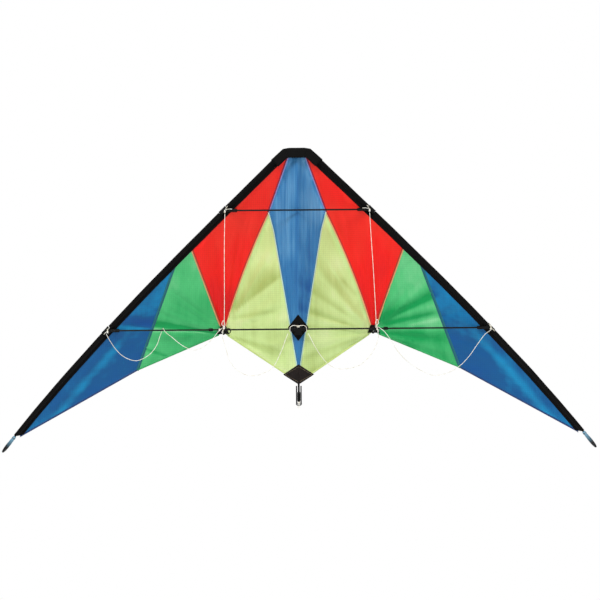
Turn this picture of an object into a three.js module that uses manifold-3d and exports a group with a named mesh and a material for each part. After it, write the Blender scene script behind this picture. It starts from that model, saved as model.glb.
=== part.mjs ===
// Dual-line delta kite, in millimetres, +Z up, hung by its nose with the pilot's side towards -Y.
// The origin is the middle of the nose strap's top. Right-hand pieces are drawn and left-hand ones mirrored.
import * as THREE from 'three';
import { mergeVertices } from 'three/addons/utils/BufferGeometryUtils.js';
import Module from 'manifold-3d';

const wasm = await Module();
wasm.setup();

// Driving dimensions
const gap = 0.35;                    // clearance between touching pieces
const edge = { start: 31.5, slope: 1.035, bow: 1.5e-7 };  // leading edge: half width against drop
const upperDrop = 156;               // drop of the upper spreader below the nose
const lowerDrop = 455;               // drop of the lower spreader
const tipDrop = 724;                 // drop where the sleeve ends at the wing tip
const standoffX = 191;               // half distance between the standoffs
const standoffDrop = 467;            // drop of the sail's trailing edge at a standoff
const sailDepth = 110;               // how far the standoffs hold the sail behind the frame
const creaseY = 6.5;                 // the sail's depth along the spine
const sailEdgeY = 5.4;               // the sail's depth along the sleeve
const sailThick = 1;
const rodRadius = 2.5;               // leading edge rods and spine
const spreaderRadius = 2;
const standoffRadius = 1.5;
const cordRadius = 0.7;
const spineY = 12.2;
const sleeveWidth = 20.6;
const sleeveTaper = 0.3;             // share of the sleeve's flat part lost by the tip
const rodInset = 4.6;                // from the sleeve's outer edge in to the rod's axis
const tailDrop = 590;                // drop of the trailing edge at the spine
const noseDrop = 27;                 // drop where the cloth leaves the nose strap

const colours = {
  black: '#101010', rod: '#141414', vinyl: '#0b0b0c', cord: '#f0ecdc', blueCentre: '#4a8fc8',
  red: '#ec3a2c', lime: '#c8da82', green: '#3fb86f', blueWing: '#14689f', navy: '#1b2a3c',
  brown: '#2b211f', steel: '#b9bcc0',
};

const kite = new THREE.Group();

function add(name, geometry, colour, roughness = 0.6, metalness = 0) {
  const finish = new THREE.MeshStandardMaterial({ color: colours[colour], roughness, metalness });
  const mesh = new THREE.Mesh(geometry, finish);
  mesh.name = name;
  kite.add(mesh);
  return mesh;
}

// Keep only positions and join shared vertices.
function plain(geometry) {
  const bare = geometry.clone();
  bare.deleteAttribute('normal');
  bare.deleteAttribute('uv');
  return mergeVertices(bare, 1e-4);
}

function flipped(geometry) {
  const turned = plain(geometry);
  const index = turned.index.array;
  for (let i = 0; i < index.length; i += 3) {
    [index[i], index[i + 1]] = [index[i + 1], index[i]];
  }
  return turned;
}

function volume(geometry) {
  const corners = [0, 1, 2].map(() => new THREE.Vector3());
  let total = 0;
  for (let i = 0; i < geometry.index.count; i += 3) {
    corners.forEach((c, k) => c.fromBufferAttribute(geometry.attributes.position, geometry.index.getX(i + k)));
    total += corners[0].dot(corners[1].clone().cross(corners[2]));
  }
  return total / 6;
}

function outward(geometry) {
  const joined = plain(geometry);
  return volume(joined) < 0 ? flipped(joined) : joined;
}

// The same piece for the other wing.
function mirrored(geometry) {
  return outward(plain(geometry).scale(-1, 1, 1));
}

function solid(geometry) {
  const joined = outward(geometry);
  return new wasm.Manifold(new wasm.Mesh({
    numProp: 3,
    vertProperties: new Float32Array(joined.attributes.position.array),
    triVerts: new Uint32Array(joined.index.array),
  }));
}

function surface(body) {
  const mesh = body.getMesh();
  const geometry = new THREE.BufferGeometry();
  geometry.setAttribute('position', new THREE.BufferAttribute(mesh.vertProperties, 3));
  geometry.setIndex(new THREE.BufferAttribute(mesh.triVerts, 1));
  return geometry;
}

// A block between two opposite corners.
function block(from, to) {
  const [a, b] = [new THREE.Vector3(...from), new THREE.Vector3(...to)];
  const size = b.clone().sub(a);
  const middle = a.add(b).multiplyScalar(0.5);
  return new THREE.BoxGeometry(size.x, size.y, size.z).translate(middle.x, middle.y, middle.z);
}

// A cylinder from one point to another, or a cone where the two radii differ.
function bar(from, to, radius, sides = 10, endRadius = radius) {
  const along = to.clone().sub(from);
  const turn = new THREE.Quaternion().setFromUnitVectors(new THREE.Vector3(0, 1, 0), along.clone().normalize());
  const middle = from.clone().add(to).multiplyScalar(0.5);
  return new THREE.CylinderGeometry(endRadius, radius, along.length(), sides)
    .applyQuaternion(turn).translate(middle.x, middle.y, middle.z);
}

// A solid of revolution about the line from a point along a direction; profile is [radius, distance] pairs.
function turned(profile, from, direction, sides = 12) {
  const turn = new THREE.Quaternion().setFromUnitVectors(new THREE.Vector3(0, 1, 0), direction.clone().normalize());
  const points = profile.map(([r, s]) => new THREE.Vector2(r, s));
  return outward(new THREE.LatheGeometry(points, sides).applyQuaternion(turn).translate(from.x, from.y, from.z));
}

function ring(radius, sides) {
  const points = [];
  for (let i = 0; i < sides; i += 1) {
    const angle = (i + 0.5) / sides * 2 * Math.PI;
    points.push(new THREE.Vector2(radius * Math.cos(angle), radius * Math.sin(angle)));
  }
  return points;
}

function tube(curve, radius, steps, sides = 8) {
  const section = new THREE.Shape(ring(radius, sides));
  return outward(new THREE.ExtrudeGeometry(section, { steps, extrudePath: curve, bevelEnabled: false }));
}

// Leading edge
function halfWidth(drop) {
  return edge.start + edge.slope * drop - edge.bow * drop ** 3;
}

function spread(drop) {
  return edge.slope - 3 * edge.bow * drop ** 2;
}

// The point of the right wing a distance inward of the sleeve's outer edge, at a depth y.
function edgePoint(drop, inward, y = 0) {
  const length = Math.hypot(1, spread(drop));
  return new THREE.Vector3(
    halfWidth(drop) - inward / length, y, -drop - inward * spread(drop) / length,
  );
}

function edgeDirection(drop) {
  return new THREE.Vector3(spread(drop), 0, -1).normalize();
}

function clothWidth(drop) {
  const rounded = rodInset + 5;
  return rounded + (sleeveWidth - rounded) * (1 - sleeveTaper * drop / tipDrop);
}

class RodAxis extends THREE.Curve {
  constructor(start, end) {
    super();
    this.start = start;
    this.end = end;
  }

  getPoint(t) {
    return edgePoint(THREE.MathUtils.lerp(this.start, this.end, t), rodInset);
  }
}

// Drop along the leading edge where the rod's axis is level with a height.
function dropLevelWith(level) {
  let drop = level;
  for (let i = 0; i < 20; i += 1) drop += level + edgePoint(drop, rodInset).z;
  return drop;
}

// Sail: straight rays run from each standoff's end to the sleeve and to the spine.
function beyondEdge(u, drop) {
  const near = drop - clothWidth(drop) * 0.7;
  return u > edgePoint(near, clothWidth(near)).x;
}

// How far out a place lies on its ray from the standoff, and the sail's depth where that ray ends.
function sailBoundary(u, drop) {
  const away = new THREE.Vector2(u - standoffX, drop - standoffDrop);
  const beyond = (s) => beyondEdge(standoffX + away.x * s, standoffDrop + away.y * s);
  const spineReach = away.x < 0 ? standoffX / -away.x : Infinity;
  let high = 1;
  while (!beyond(high) && high < spineReach) high *= 1.1;
  if (!beyond(high)) return { share: 1 / spineReach, depth: creaseY };
  let low = 0;
  for (let i = 0; i < 30; i += 1) {
    const middle = (low + high) / 2;
    if (beyond(middle)) high = middle;
    else low = middle;
  }
  return low > spineReach ? { share: 1 / spineReach, depth: creaseY } : { share: 1 / low, depth: sailEdgeY };
}

function sailY(u, drop) {
  if (Math.hypot(u - standoffX, drop - standoffDrop) < 1e-6) return sailDepth;
  const { share, depth } = sailBoundary(Math.abs(u), drop);
  return sailDepth + (depth - sailDepth) * Math.min(share, 1);
}

// A place along a line of [share, half width, drop] knots.
function along(knots, share) {
  let i = 1;
  while (i < knots.length - 1 && share > knots[i][0] + 1e-9) i += 1;
  const [a, b] = [knots[i - 1], knots[i]];
  const t = (share - a[0]) / (b[0] - a[0]);
  return [a[1] + (b[1] - a[1]) * t, a[2] + (b[2] - a[2]) * t];
}

function edgeKnot(drop) {
  const at = edgePoint(drop, clothWidth(drop) + gap);
  return [at.x, -at.z];
}

// A closed sheet over the sail's surface, between two lines that take the same share; offset is along Y.
function sheet(inner, outer, columns, rows, offset = 0, thick = sailThick) {
  const grid = plain(new THREE.BoxGeometry(1, 1, 1, columns, 1, rows));
  const place = grid.attributes.position;
  for (let i = 0; i < place.count; i += 1) {
    const across = place.getX(i) + 0.5;
    const [a, b] = [inner(0.5 - place.getZ(i)), outer(0.5 - place.getZ(i))];
    const u = a[0] + (b[0] - a[0]) * across;
    const drop = a[1] + (b[1] - a[1]) * across;
    place.setXYZ(i, u, sailY(u, drop) + offset + (place.getY(i) + 0.5) * thick, -drop);
  }
  return outward(grid);
}

// Seams, in half width and drop
const seams = {
  centreTop: [22.5, noseDrop],
  gore: [72, 160],                   // where the lime gore starts
  centreBend: [60, 206],
  centreFoot: [5, 540],
  redGreenDrop: 240.7,               // along the leading edge
  greenBlueDrop: 282,
  greenBlueFoot: [409, 558],
  goreBulge: 8,
};
const standoffFoot = [standoffX, standoffDrop - 2];
const beside = gap / 2 + 0.1;

function shifted(line, shift) {
  return (share) => {
    const [u, drop] = line(share);
    return [u + shift, drop];
  };
}

// The red and lime panels' seam, bulging outward, for a share from the gore's start to the standoff.
function goreSeam(share) {
  const [a, b] = [seams.gore, standoffFoot];
  const bulge = seams.goreBulge * 4 * share * (1 - share);
  return [a[0] + (b[0] - a[0]) * share + bulge, a[1] + (b[1] - a[1]) * share];
}

function sailCentre() {
  const rows = 15;
  const knots = [
    [0, ...seams.centreTop], [4 / rows, ...seams.gore], [6 / rows, ...seams.centreBend],
    [14 / rows, ...seams.centreFoot], [1, 1.6, tailDrop - 24],
  ];
  const outer = shifted((share) => along(knots, share), -beside);
  const inner = (share) => [-outer(share)[0], outer(share)[1]];
  return sheet(inner, outer, 8, rows);
}

function sailRed() {
  const rows = 16;
  const bend = 4 / rows;
  const inner = (share) => (share <= bend
    ? along([[0, ...seams.centreTop], [bend, ...seams.gore]], share)
    : goreSeam((share - bend) / (1 - bend)));
  const turn = 10 / rows;
  const outer = (share) => (share <= turn
    ? edgeKnot(THREE.MathUtils.lerp(noseDrop - 13, seams.redGreenDrop, share / turn))
    : along([[turn, ...edgeKnot(seams.redGreenDrop)], [1, standoffX + 2.5, standoffDrop - 2]], share));
  return sheet(shifted(inner, beside), shifted(outer, -beside), 6, rows);
}

function sailLime() {
  const rows = 14;
  const inner = (share) => along([
    [0, seams.gore[0], seams.gore[1] + 3], [2 / rows, ...seams.centreBend],
    [12 / rows, ...seams.centreFoot], [1, 2.6, tailDrop],
  ], share);
  const outer = (share) => goreSeam(0.015 + 0.985 * share);
  return sheet(shifted(inner, beside), shifted(outer, -beside), 6, rows);
}

function sailGreen() {
  const rows = 8;
  const inner = (share) => along([
    [0, ...edgeKnot(seams.redGreenDrop)], [1, standoffX + 2.5, standoffDrop - 2],
  ], share);
  const outer = (share) => along([
    [0, ...edgeKnot(seams.greenBlueDrop)], [1, ...seams.greenBlueFoot],
  ], share);
  return sheet(shifted(inner, beside), shifted(outer, -beside), 6, rows);
}

function sailBlue() {
  const rows = 12;
  const inner = (share) => along([
    [0, ...edgeKnot(seams.greenBlueDrop)], [1, ...seams.greenBlueFoot],
  ], share);
  const outer = (share) => edgeKnot(THREE.MathUtils.lerp(seams.greenBlueDrop + 2, tipDrop - 16, share));
  return sheet(shifted(inner, beside), shifted(outer, 0), 6, rows);
}

// Pilot-side places of the spreader connectors
const connectors = {
  upper: { drop: dropLevelWith(upperDrop), level: upperDrop, inward: 35 },
  lower: { drop: dropLevelWith(lowerDrop), level: lowerDrop, inward: 33 },
};
const ringRadius = 5.5;
const ringLength = 22;
const socketRadius = 4;

// A moulded connector: a ring on the leading edge rod with a level socket for a spreader.
function connector({ drop, level, inward }) {
  const middle = edgePoint(drop, rodInset);
  const step = edgeDirection(drop).multiplyScalar(ringLength / 2);
  const mouth = new THREE.Vector3(middle.x - inward, 0, -level);
  const bore = edgeDirection(drop).multiplyScalar(ringLength);
  const body = solid(bar(middle.clone().sub(step), middle.clone().add(step), ringRadius, 14))
    .add(solid(bar(middle, mouth, socketRadius, 14)));
  const rodHole = solid(bar(middle.clone().sub(bore), middle.clone().add(bore), rodRadius + gap, 14));
  const socketEnd = new THREE.Vector3(middle.x - ringRadius - 2, 0, -level);
  const socketHole = solid(bar(socketEnd, mouth.clone().setX(mouth.x - 1), spreaderRadius + gap, 10));
  return surface(body.subtract(rodHole).subtract(socketHole));
}

function spreaderEnd({ drop }) {
  return edgePoint(drop, rodInset).x - ringRadius - 2.5;
}

// The sleeve's section: p inward from the rod's axis, q backward.
function sleeveSection() {
  const outline = [
    [-rodInset, 0], [-3.4, -3.2], [0, -rodInset], [3.6, -3.6], [9, 4.6], [16, 4.6], [16, 6.2],
    [-0.6, 6.2], [-3.8, 4.4],
  ].map(([p, q]) => new THREE.Vector2(p, q));
  const section = new THREE.Shape(outline);
  section.holes.push(new THREE.Path(ring(rodRadius + 1.25, 8)));
  return section;
}

function sleeve() {
  const steps = 14;
  const tubeAlong = plain(new THREE.ExtrudeGeometry(sleeveSection(), { depth: 1, steps, bevelEnabled: false }));
  const place = tubeAlong.attributes.position;
  const start = 31.5;
  for (let i = 0; i < place.count; i += 1) {
    const drop = THREE.MathUtils.lerp(start, tipDrop - 10, place.getZ(i));
    const p = place.getX(i);
    const flat = p > 5 ? 5 + (p - 5) * (1 - sleeveTaper * drop / tipDrop) : p;
    const at = edgePoint(drop, rodInset + flat, place.getY(i));
    place.setXYZ(i, at.x, at.y, at.z);
  }
  let body = solid(tubeAlong);
  for (const { drop, level, inward } of Object.values(connectors)) {
    body = body.subtract(sleeveNotch(drop)).subtract(socketSlot(drop, level, inward));
  }
  return surface(body);
}

// The cut in the sleeve's outer edge that a connector's ring sits in.
function sleeveNotch(drop) {
  const half = ringLength / 2 + 2;
  const cutter = new THREE.BoxGeometry(2 * half, 20, 13.5).translate(0, 0, 0.25);
  const tilt = Math.atan2(1, spread(drop));
  const middle = edgePoint(drop, rodInset);
  return solid(cutter.rotateY(tilt).translate(middle.x, 0, middle.z));
}

function socketSlot(drop, level, inward) {
  const x = edgePoint(drop, rodInset).x;
  const room = socketRadius + 0.8;
  return solid(block([x - inward, -8, -level - room], [x + 4, socketRadius + 0.4, -level + room]));
}

// Nose strap: folded webbing over the ends of the sleeves and the spine, open below.
function noseWebbing() {
  const half = [[0, 0], [20, 0], [34, -3], [63, -31], [46, -47], [23, -25], [0, -25]];
  const outline = [...half, ...half.slice(1, -1).reverse().map(([x, z]) => [-x, z])];
  const inside = [[0, -1.3], [19.7, -1.3], [33, -4.3], [66, -36.5], [46, -60], [0, -60]];
  const hollow = [...inside, ...inside.slice(1, -1).reverse().map(([x, z]) => [-x, z])];
  const plate = (points, front, back) => {
    const shape = new THREE.Shape(points.map(([x, z]) => new THREE.Vector2(x, z)));
    return new THREE.ExtrudeGeometry(shape, { depth: back - front, bevelEnabled: false })
      .rotateX(Math.PI / 2).translate(0, back, 0);
  };
  return surface(solid(plate(outline, -6.4, spineY + 5)).subtract(solid(plate(hollow, -5.2, spineY + 3.8))));
}

// Spine, in a cloth pocket behind the sail
const spineEnd = 630;
const nockFoot = 644;

function spinePocket(top, bottom) {
  const [inner, outer, length] = [rodRadius + gap, rodRadius + 1.2, bottom - top];
  const profile = [[inner, 0], [outer, 0], [outer, length], [inner, length], [inner, 0]];
  return turned(profile, new THREE.Vector3(0, spineY, -top), new THREE.Vector3(0, 0, -1), 10);
}

// Centre tee: rubber, with two arms for the lower spreaders and a vertical bore for the spine.
const tee = { armEnd: 22, armRadius: 5.8, hubHalf: 9, top: lowerDrop - 9, bottom: lowerDrop + 15 };

function centreTee() {
  const arm = (x) => new THREE.Vector3(x, 0, -lowerDrop);
  const hub = solid(block([-tee.hubHalf, -5, -tee.bottom], [tee.hubHalf, spineY + 4.4, -tee.top]));
  const arms = solid(bar(arm(-tee.armEnd), arm(tee.armEnd), tee.armRadius, 16));
  const spineHole = solid(bar(new THREE.Vector3(0, spineY, -tee.bottom - 5),
    new THREE.Vector3(0, spineY, -tee.top + 5), rodRadius + gap, 12));
  let body = hub.add(arms).subtract(spineHole);
  for (const side of [-1, 1]) {
    const hole = bar(arm(side * 3), arm(side * 30), spreaderRadius + gap, 10);
    body = body.subtract(solid(hole));
  }
  return surface(body);
}

function throughHub(geometry) {
  const room = gap + 0.2;
  const window = block([-tee.hubHalf - room, -20, -tee.bottom - room], [tee.hubHalf + room, 40, -tee.top + room]);
  return surface(solid(geometry).subtract(solid(window)));
}

// A diamond patch bent over the sail's centre crease, in front of the cloth.
function diamond(top, corner, bottom, half) {
  const line = (side) => (share) => along([[0, side * 1.2, top],
    [0.5, side * half, corner], [1, side * 1.2, bottom]], share);
  return sheet(line(-1), line(1), 4, 6, -0.9 - gap, 0.9);
}

// Trailing edge patch at a standoff, in front of the cloth.
function edgePatch() {
  const line = (top, foot) => (share) => [top + (foot - top) * share, 447.5 + 20 * share];
  return sheet(line(186, 174), line(198, 209), 4, 3, -5, 0.9);
}

// Standoffs: a rod clipped on the lower spreader, its far end in a cap on the sail
const clipAt = new THREE.Vector3(standoffX, 0, -lowerDrop);
const capAt = new THREE.Vector3(standoffX, sailDepth - 11, -standoffDrop + 1);
const standoffWay = capAt.clone().sub(clipAt).normalize();

function fromClip(distance) {
  return clipAt.clone().addScaledVector(standoffWay, distance);
}

const standoffLength = clipAt.distanceTo(capAt);

function standoffRod() {
  return bar(fromClip(8.5), fromClip(standoffLength - 4), standoffRadius, 10);
}

function standoffClip() {
  const step = new THREE.Vector3(4.5, 0, 0);
  const body = solid(bar(clipAt.clone().sub(step), clipAt.clone().add(step), 4.6, 14))
    .add(solid(bar(clipAt, fromClip(20), 3.4, 12)));
  const through = step.clone().multiplyScalar(2);
  const hole = solid(bar(clipAt.clone().sub(through), clipAt.clone().add(through), spreaderRadius + gap, 12));
  const socket = solid(bar(fromClip(8), fromClip(25), standoffRadius + gap, 10));
  return surface(body.subtract(hole).subtract(socket));
}

function standoffCap() {
  const profile = [[0, 0], [3.6, 0], [3.9, 1.2], [3.9, 14], [1.9, 14], [1.9, 3], [0, 3]];
  return turned(profile, fromClip(standoffLength), standoffWay.clone().negate(), 12);
}

// Tip nock: a cap on the leading edge rod's lower end.
const nockDrop = tipDrop - 8.5;

function tipNock() {
  const profile = [[0, 17], [2.9, 17], [2.9, 0], [3.9, 0], [3.9, 10], [4.7, 22], [4.8, 33], [4, 43], [2.4, 50], [0, 51]];
  return turned(profile, edgePoint(nockDrop, rodInset), edgeDirection(nockDrop), 12);
}

function tailNock() {
  const profile = [[0, 17], [2.9, 17], [2.9, 0], [3.9, 0], [3.9, 22], [3, 24], [3.9, 27], [3.9, 30], [0, 30]];
  return turned(profile, new THREE.Vector3(0, spineY, -nockFoot + 30), new THREE.Vector3(0, 0, -1), 12);
}

// Elastic loop that holds the sail's tail down over the spine's nock.
function tailElastic() {
  const [foot, out] = [nockFoot, 5.7];
  return tube(new THREE.CatmullRomCurve3([
    [-out, 9.6, -598], [-out, 10.8, -616], [-out, spineY, -foot + 3], [-out, spineY, -foot],
    [-3.6, spineY, -foot - 2.2], [3.6, spineY, -foot - 2.2], [out, spineY, -foot],
    [out, spineY, -foot + 3], [out, 10.8, -616], [out, 9.6, -598],
  ].map((p) => new THREE.Vector3(...p))), 1.2, 18);
}

// Bridle: three legs a side from the frame to the tow knot, hanging slack.
const bridle = {
  left: {
    knot: [-186, -9.4, -449],
    upper: [[-181.5, -6.8, -164], [-183.4, -7.6, -240], [-184, -8, -330], [-184.6, -8.6, -400], [-185.6, -9.2, -443.4]],
    outer: [[-482, -7.2, -462], [-474, -7.6, -477], [-459, -7.2, -500], [-444, -6.4, -516], [-425, -5.4, -527],
      [-406, -4.4, -530.6], [-386.6, -3, -524], [-369, -1, -511], [-355, 1.6, -491], [-347, 3.6, -468],
      [-343, 4.6, -458], [-341, 4, -452.2], [-339.4, 0, -449.9], [-337.4, -4, -452.2],
      [-335, -5, -457], [-328, -5.2, -464], [-317.6, -5.6, -472],
      [-300, -6.4, -487], [-282, -7, -498.6], [-265, -7.4, -504.8], [-247.6, -7.8, -502.4], [-228, -8.4, -489.6],
      [-211, -9, -473], [-200, -9.4, -459], [-190.4, -9.4, -450.6]],
    inner: [[-187.6, -9.6, -454.6], [-190, -9.6, -472], [-182, -9, -500], [-174, -8.4, -530], [-160, -7.8, -551],
      [-141, -7.2, -565], [-121, -6.8, -570.4], [-101, -6.8, -569.4], [-85, -6.8, -563], [-70, -6.8, -555],
      [-59, -6.8, -543], [-49, -6.8, -523], [-40, -6.8, -503], [-33, -6.8, -483], [-26, -6.8, -466]],
  },
  right: {
    knot: [196, -9.4, -449],
    upper: [[181.5, -6.8, -164], [185, -7.6, -230], [189.6, -8, -310], [193, -8.6, -380], [195.6, -9.2, -443.4]],
    outer: [[482, -7.2, -462], [469, -7.6, -471], [450, -7.8, -495], [428, -7.8, -526], [405, -7.8, -549.6],
      [380, -7.8, -565], [356, -7.8, -572.4], [335, -7.8, -573.4], [313, -7.8, -564.6], [287, -7.8, -548.6],
      [264, -8, -530], [245, -8.4, -507], [230, -8.8, -482], [216, -9.2, -463], [200.6, -9.4, -450.8]],
    inner: [[197.6, -9.6, -454.6], [200.6, -9.6, -472], [197, -9.2, -491], [187, -8.8, -512], [171, -8.2, -532],
      [152, -7.6, -547], [125, -7, -554.6], [101, -6.8, -555.2], [83, -6.8, -549], [69, -6.8, -538],
      [54, -6.8, -519], [41, -6.8, -498], [31, -6.8, -478], [25, -6.8, -466]],
  },
};
const legSteps = { upper: 12, outer: 40, inner: 28 };

function leg(points, steps) {
  const curve = new THREE.CatmullRomCurve3(points.map((p) => new THREE.Vector3(...p)), false, 'centripetal');
  return tube(curve, cordRadius, steps);
}

function towKnot(at) {
  const profile = [[0, -5], [1.8, -4.4], [2.6, -2], [2.6, 2], [1.8, 4.4], [0, 5]];
  return turned(profile, new THREE.Vector3(...at), new THREE.Vector3(0, 0, 1), 10);
}

// Line tied over the tee, which the inner legs start from.
function teeTie() {
  return tube(new THREE.CatmullRomCurve3([
    [-21, -7.2, -457], [-20, -7.4, -450], [-14, -7, -446], [-6, -6.6, -446], [0, -6.6, -447.6],
    [6, -6.6, -446], [14, -7, -446], [20, -7.4, -450], [21, -7.2, -457],
  ].map((p) => new THREE.Vector3(...p))), cordRadius, 18);
}

// Spine body
const spineBar = bar(new THREE.Vector3(0, spineY, -9), new THREE.Vector3(0, spineY, -spineEnd), rodRadius, 12);
add('spine_rod', spineBar, 'rod', 0.35);
add('spine_top_cap', turned([[0, 0], [3.1, 0], [3.4, 1], [3.4, 16], [2.85, 16], [2.85, 1.8], [0, 1.8]],
  new THREE.Vector3(0, spineY, -6.5), new THREE.Vector3(0, 0, -1)), 'vinyl', 0.5);
add('tail_nock', tailNock(), 'vinyl', 0.4);
add('tail_elastic', tailElastic(), 'black', 0.8);
add('spine_pocket_upper', spinePocket(30, tee.top - 8), 'black', 0.85);
add('spine_pocket_lower', spinePocket(tee.bottom + 8, tailDrop), 'black', 0.85);
add('nose_webbing', noseWebbing(), 'black', 0.85);
add('centre_tee', centreTee(), 'vinyl', 0.55);
add('centre_patch', throughHub(diamond(419, 451, 484, 26)), 'black', 0.8);
add('tail_patch', diamond(544, 570, tailDrop + 4, 39), 'brown', 0.8);
add('sail_centre', throughHub(sailCentre()), 'blueCentre', 0.5);
add('tee_tie', teeTie(), 'cord', 0.7);

// Upper spreader
const upperEnd = spreaderEnd(connectors.upper);
add('upper_spreader', bar(new THREE.Vector3(-upperEnd, 0, -upperDrop),
  new THREE.Vector3(upperEnd, 0, -upperDrop), spreaderRadius, 10), 'rod', 0.35);

// Wings
const jointDrop = 520;               // where the leading edge rod is joined
const wing = {
  le_rod_upper: [tube(new RodAxis(7, jointDrop - 0.3), rodRadius, 12), 'rod', 0.35],
  le_rod_lower: [tube(new RodAxis(jointDrop + 0.3, tipDrop + 2), rodRadius, 6), 'rod', 0.35],
  le_ferrule: [surface(solid(tube(new RodAxis(jointDrop - 22, jointDrop + 22), rodRadius + 0.75, 2, 10))
    .subtract(solid(tube(new RodAxis(jointDrop - 26, jointDrop + 26), rodRadius + gap, 2, 10)))), 'steel', 0.3, 0.9],
  le_sleeve: [sleeve(), 'black', 0.8],
  upper_connector: [connector(connectors.upper), 'vinyl', 0.5],
  lower_connector: [connector(connectors.lower), 'vinyl', 0.5],
  lower_spreader: [bar(new THREE.Vector3(6.5, 0, -lowerDrop),
    new THREE.Vector3(spreaderEnd(connectors.lower), 0, -lowerDrop), spreaderRadius, 10), 'rod', 0.35],
  spreader_collar: [turned([[2.35, 0], [4, 0], [4, 11], [2.35, 11], [2.35, 0]],
    new THREE.Vector3(214, 0, -lowerDrop), new THREE.Vector3(1, 0, 0), 12), 'vinyl', 0.5],
  sail_red: [sailRed(), 'red', 0.5],
  sail_lime: [sailLime(), 'lime', 0.5],
  sail_green: [sailGreen(), 'green', 0.5],
  sail_blue: [sailBlue(), 'blueWing', 0.5],
  edge_patch: [edgePatch(), 'black', 0.8],
  standoff_cap: [standoffCap(), 'vinyl', 0.5],
  tip_nock: [tipNock(), 'navy', 0.4],
  standoff_clip: [standoffClip(), 'vinyl', 0.5],
  standoff_rod: [standoffRod(), 'rod', 0.35],
};
for (const [piece, [geometry, ...finish]] of Object.entries(wing)) {
  add(`right_${piece}`, geometry, ...finish);
  add(`left_${piece}`, mirrored(geometry), ...finish);
}

for (const [side, legs] of Object.entries(bridle)) {
  add(`${side}_tow_knot`, towKnot(legs.knot), 'cord', 0.7);
  for (const [name, steps] of Object.entries(legSteps)) {
    add(`${side}_bridle_${name}`, leg(legs[name], steps), 'cord', 0.7);
  }
}

export default kite;
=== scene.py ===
import bpy
import bmesh
import math
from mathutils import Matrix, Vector, noise


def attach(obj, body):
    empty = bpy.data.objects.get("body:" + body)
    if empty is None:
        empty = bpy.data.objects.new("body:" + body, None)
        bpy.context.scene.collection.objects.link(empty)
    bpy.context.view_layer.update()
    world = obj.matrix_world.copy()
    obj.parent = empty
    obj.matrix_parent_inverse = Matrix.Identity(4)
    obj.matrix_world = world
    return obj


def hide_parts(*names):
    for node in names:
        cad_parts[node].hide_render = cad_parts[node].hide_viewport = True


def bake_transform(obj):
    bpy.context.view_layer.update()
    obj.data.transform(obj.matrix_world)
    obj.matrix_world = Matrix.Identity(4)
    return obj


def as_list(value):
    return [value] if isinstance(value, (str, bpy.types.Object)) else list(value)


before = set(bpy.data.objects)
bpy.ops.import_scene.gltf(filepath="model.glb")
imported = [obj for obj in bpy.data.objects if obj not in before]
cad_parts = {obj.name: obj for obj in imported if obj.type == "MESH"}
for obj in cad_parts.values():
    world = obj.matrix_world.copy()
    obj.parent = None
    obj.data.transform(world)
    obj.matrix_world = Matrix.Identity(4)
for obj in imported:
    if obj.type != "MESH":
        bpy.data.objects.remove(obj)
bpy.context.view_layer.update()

mm = 0.001
sides = (("left", -1), ("right", 1))


def smoothStep(low, high, value):
    t = min(max((value - low) / (high - low), 0), 1)
    return t * t * (3 - 2 * t)


def mix(a, b, t):
    return a + (b - a) * t


def mirrored(point, sign):
    return Vector((point[0] * sign, point[1], point[2]))


# camera: a long lens square on to the pilot's side, at the height of the kite's middle
camera = {"distance": 5.2, "span": 1.506, "height": -0.382, "across": 0.005, "roll": 0.5, "sensor": 36,
          "far": 60}


def makeCamera():
    data = bpy.data.cameras.new("camera")
    data.sensor_width = camera["sensor"]
    data.lens = camera["sensor"] * camera["distance"] / camera["span"]
    data.clip_end = camera["far"]
    view = bpy.data.objects.new("camera", data)
    view.location = (camera["across"], -camera["distance"], camera["height"])
    view.rotation_euler = (math.radians(90), math.radians(camera["roll"]), 0)
    bpy.context.collection.objects.link(view)
    bpy.context.scene.camera = view


makeCamera()
print("camera made")


def linear(hexColour):
    parts = [int(hexColour[i:i + 2], 16) / 255 for i in (1, 3, 5)]
    return tuple(c / 12.92 if c <= 0.04045 else ((c + 0.055) / 1.055) ** 2.4 for c in parts) + (1,)


# adds one node: a node or socket among its settings is linked, stops fill a colour ramp, anything else is set
def addNode(tree, kind, settings=None):
    node = tree.nodes.new("ShaderNode" + kind)
    for name, value in (settings or {}).items():
        if name == "stops":
            elements = node.color_ramp.elements
            for element, (place, colour) in zip(elements, (value[0], value[-1])):
                element.position, element.color = place, linear(colour)
            for place, colour in value[1:-1]:
                elements.new(place).color = linear(colour)
        elif isinstance(value, (bpy.types.Node, bpy.types.NodeSocket)):
            tree.links.new(getattr(value, "outputs", [value])[0], node.inputs[name])
        elif isinstance(name, int) or name in node.inputs:
            node.inputs[name].default_value = value
        else:
            setattr(node, name, value)
    return node


def newMaterial(name):
    material = bpy.data.materials.new(name)
    material.use_nodes = True
    tree = material.node_tree
    tree.nodes.clear()
    return material, tree, addNode(tree, "TexCoord").outputs["Object"]


# the end of each finish: relief of a strength and depth from a height, then what is the same all over
def finishMaterial(tree, colour, height, strength, depth, settings):
    bump = addNode(tree, "Bump", {"Strength": strength, "Distance": depth, "Height": height})
    shader = addNode(tree, "BsdfPrincipled", {"Base Color": colour, "Normal": bump, **settings})
    addNode(tree, "OutputMaterial", {"Surface": shader})


# one within the first share of each pitch along a coordinate, for grid threads and stitches
def repeated(tree, coordinate, pitch, share):
    step = addNode(tree, "Math", {"operation": "DIVIDE", 0: coordinate, 1: pitch})
    part = addNode(tree, "Math", {"operation": "FRACT", 0: step})
    return addNode(tree, "Math", {"operation": "LESS_THAN", 0: part, 1: share})


# a wave texture has a band in every twentieth of a metre at scale 1
def waveScale(pitch):
    return 1 / pitch / 20


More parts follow.
